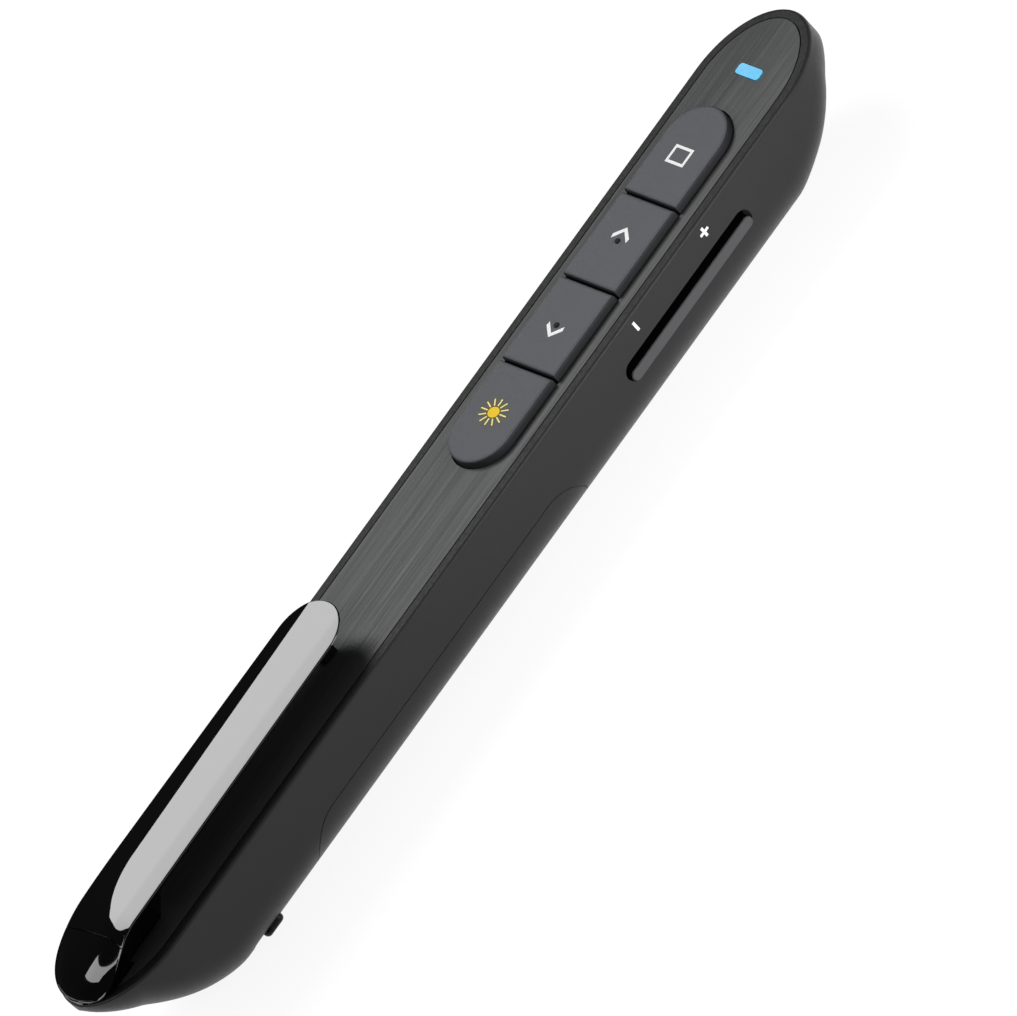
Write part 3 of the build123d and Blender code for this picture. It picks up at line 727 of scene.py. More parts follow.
def capped(name: str, start: Sequence[Point], end: Sequence[Point]) -> bpy.types.Object:
    """A closed solid between two outlines with the same number of corners.

    Args:
        name: the object's name.
        start: the start face's corners in millimetres.
        end: the end face's corners.

    Returns:
        The new object.
    """
    count = len(start)
    sides = [(i, (i + 1) % count, count + (i + 1) % count, count + i) for i in range(count)]
    faces = [tuple(range(count)), tuple(range(2 * count - 1, count - 1, -1)), *sides]
    return mesh_object(name, [*start, *end], faces)


def prism(name: str, outline: Sequence[Point], reach: Point) -> bpy.types.Object:
    """A closed solid: an outline moved along a straight line.

    Args:
        name: the object's name.
        outline: the start face's corners in millimetres.
        reach: the move from the start face to the end face.

    Returns:
        The new object.
    """
    far = [tuple(a + b for a, b in zip(point, reach)) for point in outline]
    return capped(name, outline, far)


def loft(name: str, rings: Sequence[Sequence[Point]]) -> bpy.types.Object:
    """A closed solid through rings of points, the first and last of which have no width.

    Args:
        name: the object's name.
        rings: the rings in order, each with the same number of points.

    Returns:
        The new object.
    """
    count = len(rings[0])
    faces = [
        (
            row * count + i,
            row * count + (i + 1) % count,
            (row + 1) * count + (i + 1) % count,
            (row + 1) * count + i,
        )
        for row in range(len(rings) - 1)
        for i in range(count)
    ]
    return mesh_object(name, [point for ring in rings for point in ring], faces)


def bake(piece: bpy.types.Object) -> None:
    """Turn a piece's modifiers into plain mesh.

    Args:
        piece: the object to bake.
    """
    graph = bpy.context.evaluated_depsgraph_get()
    graph.update()
    plain = bpy.data.meshes.new_from_object(piece.evaluated_get(graph))
    piece.modifiers.clear()
    old = piece.data
    piece.data = plain
    plain.name = piece.name
    bpy.data.meshes.remove(old)


def combine(piece: bpy.types.Object, other: bpy.types.Object, how: Mix) -> None:
    """Cut, join or intersect a piece with another, which is used up.

    Args:
        piece: the object that is changed.
        other: the object that acts on it.
        how: what the other object does.
    """
    modifier = piece.modifiers.new("combine", "BOOLEAN")
    modifier.operation = how.value
    modifier.solver = "EXACT"
    modifier.object = other
    bake(piece)
    bpy.data.objects.remove(other)


def smooth(piece: bpy.types.Object) -> None:
    """Smooth a piece's shading, with its sharp edges kept.

    Args:
        piece: the object to smooth.
    """
    piece.data.shade_smooth()
    piece.data.set_sharp_from_angle(angle=SMOOTH_ANGLE)
    weighted = piece.modifiers.new("weighted", "WEIGHTED_NORMAL")
    weighted.keep_sharp = True
    bake(piece)


def finish_piece(piece: bpy.types.Object, finish: Finish, body: Body) -> None:
    """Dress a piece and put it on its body.

    Args:
        piece: the finished mesh.
        finish: what it is made of.
        body: the body that it moves with.
    """
    piece.data.materials.clear()
    piece.data.materials.append(SHELF.get(finish))
    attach(piece, body.value)
    log.info("%s: %d faces on %s", piece.name, len(piece.data.polygons), body.value)


def turned(centre: Flat, radius: Flat, start: float, end: float, steps: int) -> list[Flat]:
    """Points along part of an ellipse.

    Args:
        centre: the ellipse's centre.
        radius: its reach along each of the two directions.
        start: the first point's angle in degrees.
        end: the last point's angle in degrees.
        steps: the number of steps between them.

    Returns:
        The points, from start to end.
    """
    angles = [math.radians(start + (end - start) * i / steps) for i in range(steps + 1)]
    return [
        (centre[0] + radius[0] * math.cos(a), centre[1] + radius[1] * math.sin(a))
        for a in angles
    ]


def circle(centre: Flat, radius: float, points: int) -> list[Flat]:
    """Points evenly round a whole circle.

    Args:
        centre: the circle's centre.
        radius: its radius.
        points: how many points it gets.

    Returns:
        The points.
    """
    step = 4 * QUARTER_TURN / points
    return turned(centre, (radius, radius), 0, 4 * QUARTER_TURN - step, points - 1)


def slot_outline(middle: Flat, length: float, height: float, steps: int) -> list[Flat]:
    """A slot with round ends.

    Args:
        middle: the slot's centre.
        length: its full length.
        height: its full height.
        steps: steps in each round end.

    Returns:
        The outline's points.
    """
    half, radius = length / 2, height / 2
    x, z = middle
    front = turned((x + half - radius, z), (radius, radius), *NOSE_HALF, steps)
    rear = turned((x - half + radius, z), (radius, radius), *TAIL_HALF, steps)
    return [*front, *rear]


# ---------------------------------------------------------------- body


@dataclass
class BodyForm:
    """The slim tub's outer form, shared by the shell and the battery cover."""

    length: float = 145.0
    width: float = 16.2
    height: float = 13.6
    wall: float = 1.6
    corner: float = 6.0
    nose_plan: float = 11.0
    tail_plan: float = 11.8
    nose_rise: float = 16.5
    tail_rise: float = 17.5
    nose_lip: float = 4.5
    tail_lip: float = 1.2
    nose_power: float = 1.4
    tail_power: float = 1.6
    rim_round: float = 0.35
    pocket_inset: float = 1.26
    plate_thickness: float = 1.2
    turn_step: float = 3.0
    middle_step: float = 0.8
    least_depth: float = 0.3
    corner_share: float = 0.94
    rim_steps: int = 4
    side_steps: int = 6
    corner_steps: int = 12
    floor_steps: int = 3
    lid_shares: tuple[float, ...] = (-0.75, -0.5, -0.25, 0, 0.25, 0.5, 0.75)
    outline_steps: int = 60

    def floor(self, x: float, inset: float) -> float:
        """Height of the underside, which rises in a curve at the nose and the tail.

        Args:
            x: a place along the body.
            inset: how far the form is set in.

        Returns:
            The height there.
        """
        nose = x > 0
        rise = self.nose_rise if nose else self.tail_rise
        lip = self.nose_lip if nose else self.tail_lip
        power = self.nose_power if nose else self.tail_power
        past = max(0.0, abs(x) - (self.length / 2 - rise)) / rise
        return inset + (self.height - lip) * past**power

    def stations(self) -> list[Station]:
        """Places along the body.

        Returns:
            For each, the centre x of its turn, the turn's plan length and the turn in radians.
        """
        front = self.length / 2 - self.nose_plan
        rear = -(self.length / 2 - self.tail_plan)
        turns = [self.turn_step * i for i in range(int(QUARTER_TURN / self.turn_step) + 1)]
        tail = [(rear, -self.tail_plan, math.radians(turn)) for turn in reversed(turns)]
        count = round((front - rear) / self.middle_step)
        middle = [(rear + (front - rear) * i / count, 0.0, 0.0) for i in range(1, count)]
        nose = [(front, self.nose_plan, math.radians(turn)) for turn in turns]
        return [*tail, *middle, *nose]

    def rim(self, station: Station, inset: float, top: float) -> list[Point]:
        """Points over the rounded upper edge.

        Args:
            station: a place from stations().
            inset: how far the form is set in; only the outer form, at 0, is rounded.
            top: the height of the flat top.

        Returns:
            The points, from the flat top to the side.
        """
        centre, plan, turn = station
        rounding = self.rim_round if inset == 0 else 0.0
        points: list[Point] = []
        for step in range(self.rim_steps + 1):
            angle = math.radians(QUARTER_TURN * step / self.rim_steps)
            shrink = rounding * (1 - math.sin(angle))
            reach = math.copysign(abs(plan) - inset - shrink, plan) if plan else 0.0
            half = (self.width / 2 - inset - shrink) * math.cos(turn)
            lowered = top - rounding * (1 - math.cos(angle))
            points.append((centre + reach * math.sin(turn), half, lowered))
        return points

    def ring(self, station: Station, inset: float, top: float) -> list[Point]:
        """Points round the body at one station.

        Args:
            station: a place from stations().
            inset: how far the form is set in.
            top: the height of the flat top.

        Returns:
            The ring's points, starting at the top left.
        """
        centre, plan, turn = station
        reach = math.copysign(abs(plan) - inset, plan) if plan else 0.0
        half = (self.width / 2 - inset) * math.cos(turn)
        x = centre + reach * math.sin(turn)
        floor = min(self.floor(x, inset), top - self.least_depth)
        corner = min(
            self.corner - inset, self.corner_share * half, self.corner_share * (top - floor)
        )
        side = self.rim(station, inset, top)
        lid_x, lid_half, _ = side[0]
        shoulder = top - (self.rim_round if inset == 0 else 0.0)
        for step in range(1, self.side_steps):
            z = shoulder + (floor + corner - shoulder) * step / self.side_steps
            side.append((x, half, z))
        for step in range(self.corner_steps + 1):
            angle = math.radians(QUARTER_TURN * step / self.corner_steps)
            y = half - corner + corner * math.cos(angle)
            side.append((x, y, floor + corner - corner * math.sin(angle)))
        for step in range(1, self.floor_steps):
            side.append((x, (half - corner) * (1 - step / self.floor_steps), floor))
        right = [(px, -py, pz) for px, py, pz in reversed(side)]
        lid = [(lid_x, lid_half * share, top) for share in self.lid_shares]
        return [*side, *right, *lid]

    def solid(self, name: str, inset: float, top: float) -> bpy.types.Object:
        """The closed form, set in by inset, up to top.

        Args:
            name: the object's name.
            inset: how far the form is set in.
            top: the height of its flat top.

        Returns:
            The new object.
        """
        return loft(name, [self.ring(station, inset, top) for station in self.stations()])

    def outline(self, inset: float) -> list[Flat]:
        """The plan outline.

        Args:
            inset: how far it is set in.

        Returns:
            The outline's points.
        """
        front = self.length / 2 - self.nose_plan
        rear = -(self.length / 2 - self.tail_plan)
        half = self.width / 2 - inset
        steps = self.outline_steps
        nose = turned((front, 0), (self.nose_plan - inset, half), *NOSE_HALF, steps)
        tail = turned((rear, 0), (self.tail_plan - inset, half), *TAIL_HALF, steps)
        return [*nose, *tail]


@dataclass
class BodyShell:
    """The tub with the plate's pocket, the cover's opening, the slots and the laser bore."""

    form: BodyForm = field(default_factory=BodyForm)
    cover_rear: float = -41.4
    cover_front: float = 13.0
    cover_height: float = 6.6
    cover_corner: float = 5.5
    cover_gap: float = 0.1
    slot_x: float = 37.15
    slot_z: float = 8.0
    slot_length: float = 24.5
    slot_height: float = 2.9
    knob_x: float = -50.4
    knob_angle: float = 49.0
    knob_slot_length: float = 5.6
    knob_slot_width: float = 2.3
    knob_travel: float = 2.0
    bore_height: float = 5.6
    bore_radius: float = 1.2
    bore_start: float = 14.0
    bore_length: float = 20.0
    bore_points: int = 24
    cover_turn_steps: int = 16
    slot_turn_steps: int = 20
    knob_turn_steps: int = 14
    slot_past_wall: float = 0.6
    knob_past_wall: float = 0.3
    clearance: float = 1.0
    pocket_reach: float = 3.0
    upward: float = 0.9
    flat_share: float = 0.25

    def cover_outline(self, inset: float) -> list[Flat]:
        """The cover's outline as seen from the side.

        Args:
            inset: how far it is set in.

        Returns:
            The outline's points.
        """
        low, high = self.cover_rear + inset, self.cover_front - inset
        top, corner = self.cover_height - inset, self.cover_corner - inset
        radius, steps = (corner, corner), self.cover_turn_steps
        front = turned((high - corner, top - corner), radius, 0, QUARTER_TURN, steps)
        rear = turned((low + corner, top - corner), radius, QUARTER_TURN, 2 * QUARTER_TURN, steps)
        return [(low, -self.clearance), (high, -self.clearance), *front, *rear]

    def cover_block(self, name: str, inset: float) -> bpy.types.Object:
        """A prism of the cover's side outline, wider than the body.

        Args:
            name: the object's name.
            inset: how far the outline is set in.

        Returns:
            The new object.
        """
        wide = self.form.width
        points = [(x, -wide, z) for x, z in self.cover_outline(inset)]
        return prism(name, points, (0, 2 * wide, 0))

    def walls(self, name: str) -> bpy.types.Object:
        """The body's outer form less its cavity.

        Args:
            name: the object's name.

        Returns:
            The new object.
        """
        form = self.form
        shell = form.solid(name, 0.0, form.height)
        cavity = form.solid("cavity", form.wall, form.height - form.plate_thickness)
        combine(shell, cavity, Mix.CUT)
        return shell

    def slot_block(self) -> bpy.types.Object:
        """The volume rocker's slot.

        Returns:
            The block that cuts it.
        """
        outside = -self.form.width / 2 - self.clearance
        outline = slot_outline(
            (self.slot_x, self.slot_z), self.slot_length, self.slot_height, self.slot_turn_steps
        )
        depth = self.form.wall + self.clearance + self.slot_past_wall
        return prism("slot", [(x, outside, z) for x, z in outline], (0, depth, 0))

    def knob_block(self) -> bpy.types.Object:
        """The power knob's slot, square to the lower right corner.

        Returns:
            The block that cuts it.
        """
        turn = math.radians(self.knob_angle)
        out = Vector((0, -math.cos(turn), -math.sin(turn)))
        across = Vector((0, -math.sin(turn), math.cos(turn)))
        form = self.form
        origin = Vector((self.knob_x, form.corner - form.width / 2, form.corner))
        origin += out * form.corner
        outline = slot_outline(
            (-self.knob_travel / 2, 0),
            self.knob_slot_length,
            self.knob_slot_width,
            self.knob_turn_steps,
        )
        start = origin + out * self.clearance
        points = [tuple(start + Vector((u, 0, 0)) + across * v) for u, v in outline]
        depth = form.wall + self.clearance + self.knob_past_wall
        return prism("knob_slot", points, tuple(-out * depth))

    def pocket_block(self) -> bpy.types.Object:
        """The face plate's pocket.

        Returns:
            The block that cuts it.
        """
        form = self.form
        bottom = form.height - form.plate_thickness
        points = [(x, y, bottom) for x, y in form.outline(form.pocket_inset)]
        return prism("pocket", points, (0, 0, self.pocket_reach))

    def bore_block(self) -> bpy.types.Object:
        """The laser's bore through the nose.

        Returns:
            The block that cuts it.
        """
        start = self.form.length / 2 - self.bore_start
        ring = circle((0, self.bore_height), self.bore_radius, self.bore_points)
        return prism("bore", [(start, y, z) for y, z in ring], (self.bore_length, 0, 0))

    def paint_rim_shade(self, shell: bpy.types.Object) -> None:
        """Paint shade on the shell's flat top edge: its upward faces get a darker black, standing
        in for shade on the rim.

        Args:
            shell: the finished shell.
        """
        form = self.form
        shell.data.materials.append(SHELF.get(RIM_PAINTED_SHADE))
        # Painted shade: upward faces at the top of the rim take the darker black.
        for face in shell.data.polygons:
            high = face.center.z > (form.height - form.rim_round * self.flat_share) * MM
            if face.normal.z > self.upward and high:
                face.material_index = 1

    def build(self) -> None:
        """Build and dress the shell and the battery cover."""
        shell = self.walls("body_shell_formed")
        for block in (
            self.pocket_block(),
            self.cover_block("opening", 0.0),
            self.slot_block(),
            self.knob_block(),
            self.bore_block(),
        ):
            combine(shell, block, Mix.CUT)
        smooth(shell)
        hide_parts("body_shell")
        finish_piece(shell, SOFT_BLACK, Body.ROOT)
        self.paint_rim_shade(shell)
        cover = self.walls("battery_cover_formed")
        combine(cover, self.cover_block("cover_edge", self.cover_gap), Mix.KEEP)
        smooth(cover)
        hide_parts("battery_cover")
        finish_piece(cover, SOFT_BLACK, Body.COVER)


# ---------------------------------------------------------------- clip


@dataclass
class TailClip:
    """The gloss clip: one flowing form, split at the hinge into a sprung arm and a tail cap."""

    half_width: float = 5.2
    top: float = 18.2
    face: float = 13.6
    tip_centre: float = -22.4
    tip_length: float = 5.2
    hinge_x: float = -61.5
    hinge_z: float = 15.6
    tail_reach: float = 10.85
    tip_half: float = 4.75
    tail_power: float = 5.0
    dome_start: float = 0.87
    far_dome: float = 0.3
    dome_power: int = 4
    least_half: float = 0.01
    least_height: float = 0.02
    rear_radius: float = 3.97
    seam: float = 0.08
    underside: float = 16.2
    root_floor: float = 14.3
    root_front: float = -58.9
    root_rise: float = 14.45
    arm_front: float = -56.3
    near_line: float = 2.8
    near_slope: float = 0.06
    far_line_tip: float = 2.8
    far_line_root: float = 1.8
    sweep_start: float = -54.0
    sweep_length: float = 9.9
    far_slope: float = 0.125
    edge: float = 0.16
    undercut: float = 1.75
    rear_undercut: float = 0.9
    wall_share: float = 0.634
    slot_half: float = 3.2
    slot_radius: float = 1.65
    pin_half: float = 4.25
    pin_radius: float = 0.65
    lug_half: float = 1.2
    lug_radius: float = 1.3
    foot: float = 0.2
    grip_x: float = -21.8
    grip_length: float = 2.0
    grip_half: float = 1.3
    grip_floor: float = 13.75
    grip_overlap: float = 0.2
    tail_sections: int = 90
    arm_sections: int = 90
    arm_spread: float = 1.25
    tip_sections: int = 20
    crease_reach: Flat = (-0.985, 0.97)
    near_share: float = -0.54
    crown_steps: tuple[int, int, int] = (6, 16, 12)
    edge_shares: tuple[float, ...] = (0.6, 0.2, 0.0)
    joint_steps: int = 48
    knuckle_steps: int = 20
    pin_points: int = 24
    clearance: float = 1.0

    def behind_hinge(self, x: float) -> float:
        """How far a place lies behind the hinge, as a share of the tail's reach.

        Args:
            x: a place along the clip.

        Returns:
            The share, 0 at the hinge and ahead of it and 1 at the tail's end.
        """
        return min(1.0, max(0.0, (self.hinge_x - x) / self.tail_reach))

    def far_line(self, x: float) -> float:
        """The y of the crease that runs along the arm's far side.

        Args:
            x: a place along the clip.

        Returns:
            The y there.
        """
        span = self.tip_centre + self.half_width - self.sweep_start
        share = max(0.0, x - self.sweep_start) / span
        return self.far_line_root + (self.far_line_tip - self.far_line_root) * share

    def crease(self, x: float) -> float:
        """The y at which the crease crosses a station, swept right across near the tail.

        Args:
            x: a place along the clip.

        Returns:
            The y there.
        """
        back = max(0.0, self.sweep_start - x) / self.sweep_length
        reach = self.far_line(x) + self.half_width
        return reach * math.sqrt(max(0.0, 1 - back * back)) - self.half_width

    def past_crease(self, x: float, y: float) -> float:
        """How far a place lies beyond the crease.

        Args:
            x: a place along the clip.
            y: a place across it.

        Returns:
            The distance, 0 short of the crease.
        """
        reach = self.far_line(x) + self.half_width
        back = max(0.0, self.sweep_start - x) / self.sweep_length
        across = max(0.0, y + self.half_width) / reach
        radius = math.hypot(back, across)
        if radius <= 1:
            return 0.0
        scale = reach + (self.sweep_length - reach) * (back / radius) ** 2
        return (radius - 1) * scale

    def half_at(self, x: float) -> float:
        """Half of the clip's width at x, short of the round of its tip.

        Args:
            x: a place along the clip.

        Returns:
            Half the width there.
        """
        if x >= self.hinge_x:
            share = min(1.0, (x - self.hinge_x) / (self.tip_centre - self.hinge_x))
            return self.half_width + (self.tip_half - self.half_width) * share
        return self.half_width * math.sqrt(1 - self.behind_hinge(x) ** self.tail_power)

    def height(self, x: float, y: float) -> float:
        """Height of the clip's upper surface.

        Args:
            x: a place along the clip.
            y: a place across it.

        Returns:
            The height there.
        """
        back = self.behind_hinge(x)
        swell = math.sqrt(1 - back * back)
        crown = (self.top - self.face) * swell
        near = self.near_slope * max(0.0, -y - self.near_line)
        far = self.far_slope * self.past_crease(x, y)
        out = min(1.0, abs(y) / max(self.least_half, self.half_at(x)))
        depth = 1.0 if y < 0 else self.far_dome
        dome = 1 - depth * min(1.0, back / self.dome_start) ** 2 * out**self.dome_power
        return self.face + max(self.least_height, (crown - (near + far) * swell) * dome)

    def stations(self) -> list[Station]:
        """Places along the clip, from the tail to the tip.

        Returns:
            For each, the centre x of its turn, the turn's plan length and the turn in radians.
        """
        tail_step, tip_step = QUARTER_TURN / self.tail_sections, QUARTER_TURN / self.tip_sections
        reach = self.tip_centre - self.hinge_x
        tail = [
            (self.hinge_x, -self.tail_reach, math.radians(tail_step * i))
            for i in range(self.tail_sections, 0, -1)
        ]
        middle = [
            (self.hinge_x + reach * (i / self.arm_sections) ** self.arm_spread, 0.0, 0.0)
            for i in range(self.arm_sections)
        ]
        tip = [
            (self.tip_centre, self.tip_length, math.radians(tip_step * i))
            for i in range(self.tip_sections + 1)
        ]
        return [*tail, *middle, *tip]

    def edge_place(self, station: Station, shrink: float) -> Flat:
        """Where the clip's side edge stands at a station.

        Args:
            station: a place from stations().
            shrink: how far the edge is set in.

        Returns:
            The edge's x and its distance from the middle line.
        """
        centre, plan, turn = station
        reach = math.copysign(abs(plan) - shrink, plan) if plan else 0.0
        if plan < 0:
            spread = math.sqrt(max(0.0, 1 - math.sin(turn) ** self.tail_power))
        else:
            spread = math.cos(turn)
        return centre + reach * math.sin(turn), (self.half_at(centre) - shrink) * spread

    def crown_line(self, x: float, half: float) -> list[Point]:
        """Points across the clip's upper surface, with one on the crease.

        Args:
            x: a place along the clip.
            half: half of the surface's width there.

        Returns:
            The points, from the near side to the far side.
        """
        low, high = self.crease_reach
        crease = min(high * half, max(low * half, self.crease(x)))
        near = min(self.near_share * half, (crease - half) / 2)
        first, second, third = self.crown_steps
        lines = [-half + (near + half) * i / first for i in range(first)]
        lines += [near + (crease - near) * i / second for i in range(second)]
        lines += [crease + (half - crease) * i / third for i in range(third + 1)]
        return [(x, y, self.height(x, y)) for y in lines]

    def slant(self, x: float) -> float:
        """How far the clip's sides lean in on their way down.

        Args:
            x: a place along the clip.

        Returns:
            The distance at the foot of the side.
        """
        root = min(1.0, max(0.0, (x - self.root_front) / (self.arm_front - self.root_front)))
        ahead = root * root * (3 - 2 * root)
        lean = self.rear_undercut + (self.undercut - self.rear_undercut) * ahead
        return lean * (1 - self.behind_hinge(x) ** 2)

    def wall_line(self, station: Station, side: Side) -> list[Point]:
        """Points over the rounded edge and down one side to the face.

        Args:
            station: a place from stations().
            side: the side to follow.

        Returns:
            The points, from the upper surface down.
        """
        way = side.value
        x, half = self.edge_place(station, self.edge)
        edge_z = self.height(x, way * half) - self.edge
        points: list[Point] = []
        for share in self.edge_shares:
            px, py = self.edge_place(station, self.edge * share)
            lift = self.edge * math.sqrt(1 - (1 - share) ** 2)
            points.append((px, way * py, max(self.face, edge_z + lift)))
        low = self.face + self.wall_share * max(0.0, edge_z - self.face)
        px, py = self.edge_place(station, self.slant(x))
        return [*points, (px, way * py, low), (px, way * py, self.face)]

    def ring(self, station: Station) -> list[Point]:
        """Points round the clip at one station.

        Args:
            station: a place from stations().

        Returns:
            The ring's points, from the near side's foot over the top to the far side's.
        """
        near, far = (self.wall_line(station, side) for side in (Side.NEAR, Side.FAR))
        return [*reversed(near), *self.crown_line(*self.edge_place(station, self.edge)), *far]

    def form(self, name: str) -> bpy.types.Object:
        """The whole clip as one closed solid that stands on the face.

        Args:
            name: the object's name.

        Returns:
            The new object.
        """
        return loft(name, [self.ring(station) for station in self.stations()])

    def side_prism(self, name: str, outline: Sequence[Flat], half: float) -> bpy.types.Object:
        """A prism across the clip.

        Args:
            name: the object's name.
            outline: its outline as seen from the side.
            half: how far it reaches to each side of the middle line.

        Returns:
            The new object.
        """
        return prism(name, [(x, -half, z) for x, z in outline], (0, 2 * half, 0))

    def joint_arc(self, radius: float, high: float, low: float) -> list[Flat]:
        """An arc round the hinge, on the tail's side of it.

        Args:
            radius: the arc's radius.
            high: the height at which it starts.
            low: the height at which it ends.

        Returns:
            The arc's points, from its upper end to its lower.
        """
        start, end = (
            2 * QUARTER_TURN - math.degrees(math.asin((z - self.hinge_z) / radius))
            for z in (high, low)
        )
        centre = (self.hinge_x, self.hinge_z)
        return turned(centre, (radius, radius), start, end, self.joint_steps)

    def knuckle_arc(self, radius: float) -> list[Flat]:
        """The upper half of a circle round the hinge.

        Args:
            radius: the circle's radius.

        Returns:
            The half circle's points, from its nose end to its tail end.
        """
        centre = (self.hinge_x, self.hinge_z)
        return turned(centre, (radius, radius), 0, 2 * QUARTER_TURN, self.knuckle_steps)

    def arm(self) -> bpy.types.Object:
        """The sprung arm with its knuckle, its slot for the lug, its pin hole and its grip.

        Returns:
            The new object.
        """
        over = self.top + self.clearance
        tip = self.tip_centre + self.half_width + self.clearance
        side = [
            *self.joint_arc(self.rear_radius, over, self.root_floor),
            (self.root_front - (self.root_rise - self.root_floor), self.root_floor),
            (self.root_front, self.root_rise),
            (self.arm_front, self.underside),
            (tip, self.underside),
            (tip, over),
        ]
        arm = self.form("clip_arm")
        combine(arm, self.side_prism("arm_side", side, 2 * self.half_width), Mix.KEEP)
        under = self.face - self.clearance
        slot = [
            *self.knuckle_arc(self.slot_radius),
            (self.hinge_x - self.slot_radius, under),
            (self.hinge_x + self.slot_radius, under),
        ]
        combine(arm, self.side_prism("slot", slot, self.slot_half), Mix.CUT)
        hole = circle((self.hinge_x, self.hinge_z), self.pin_radius, self.pin_points)
        combine(arm, self.side_prism("pin_hole", hole, self.pin_half), Mix.CUT)
        rear, front = (self.grip_x + way * self.grip_length / 2 for way in (-1, 1))
        inside = self.underside + self.grip_overlap
        grip = [
            (rear, self.grip_floor),
            (front, self.grip_floor),
            (front, inside),
            (rear, inside),
        ]
        combine(arm, self.side_prism("grip", grip, self.grip_half), Mix.JOIN)
        return arm

    def cap(self) -> bpy.types.Object:
        """The tail cap, hollowed round the knuckle, with the lug that carries the pin.

        Returns:
            The new object.
        """
        hollow = self.rear_radius + self.seam
        over, under = self.top + self.clearance, self.face - self.clearance
        tip = self.tip_centre + 2 * self.half_width
        front = [*self.joint_arc(hollow, over, under), (tip, under), (tip, over)]
        cap = self.form("clip_cap")
        combine(cap, self.side_prism("cap_front", front, 2 * self.half_width), Mix.CUT)
        lug = [
            *self.knuckle_arc(self.lug_radius),
            (self.hinge_x - self.lug_radius, self.face + self.foot),
            (self.hinge_x - hollow, self.face + self.foot),
            (self.hinge_x - hollow, self.face),
            (self.hinge_x + self.lug_radius, self.face),
        ]
        combine(cap, self.side_prism("lug", lug, self.lug_half), Mix.JOIN)
        return cap

    def build(self) -> None:
        """Build and dress the arm and the cap."""
        for piece, node, body in (
            (self.arm(), "pen_clip", Body.CLIP),
            (self.cap(), "clip_base", Body.ROOT),
        ):
            smooth(piece)
            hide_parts(node)
            finish_piece(piece, CLIP_GLOSS, body)


# ---------------------------------------------------------------- printed marks


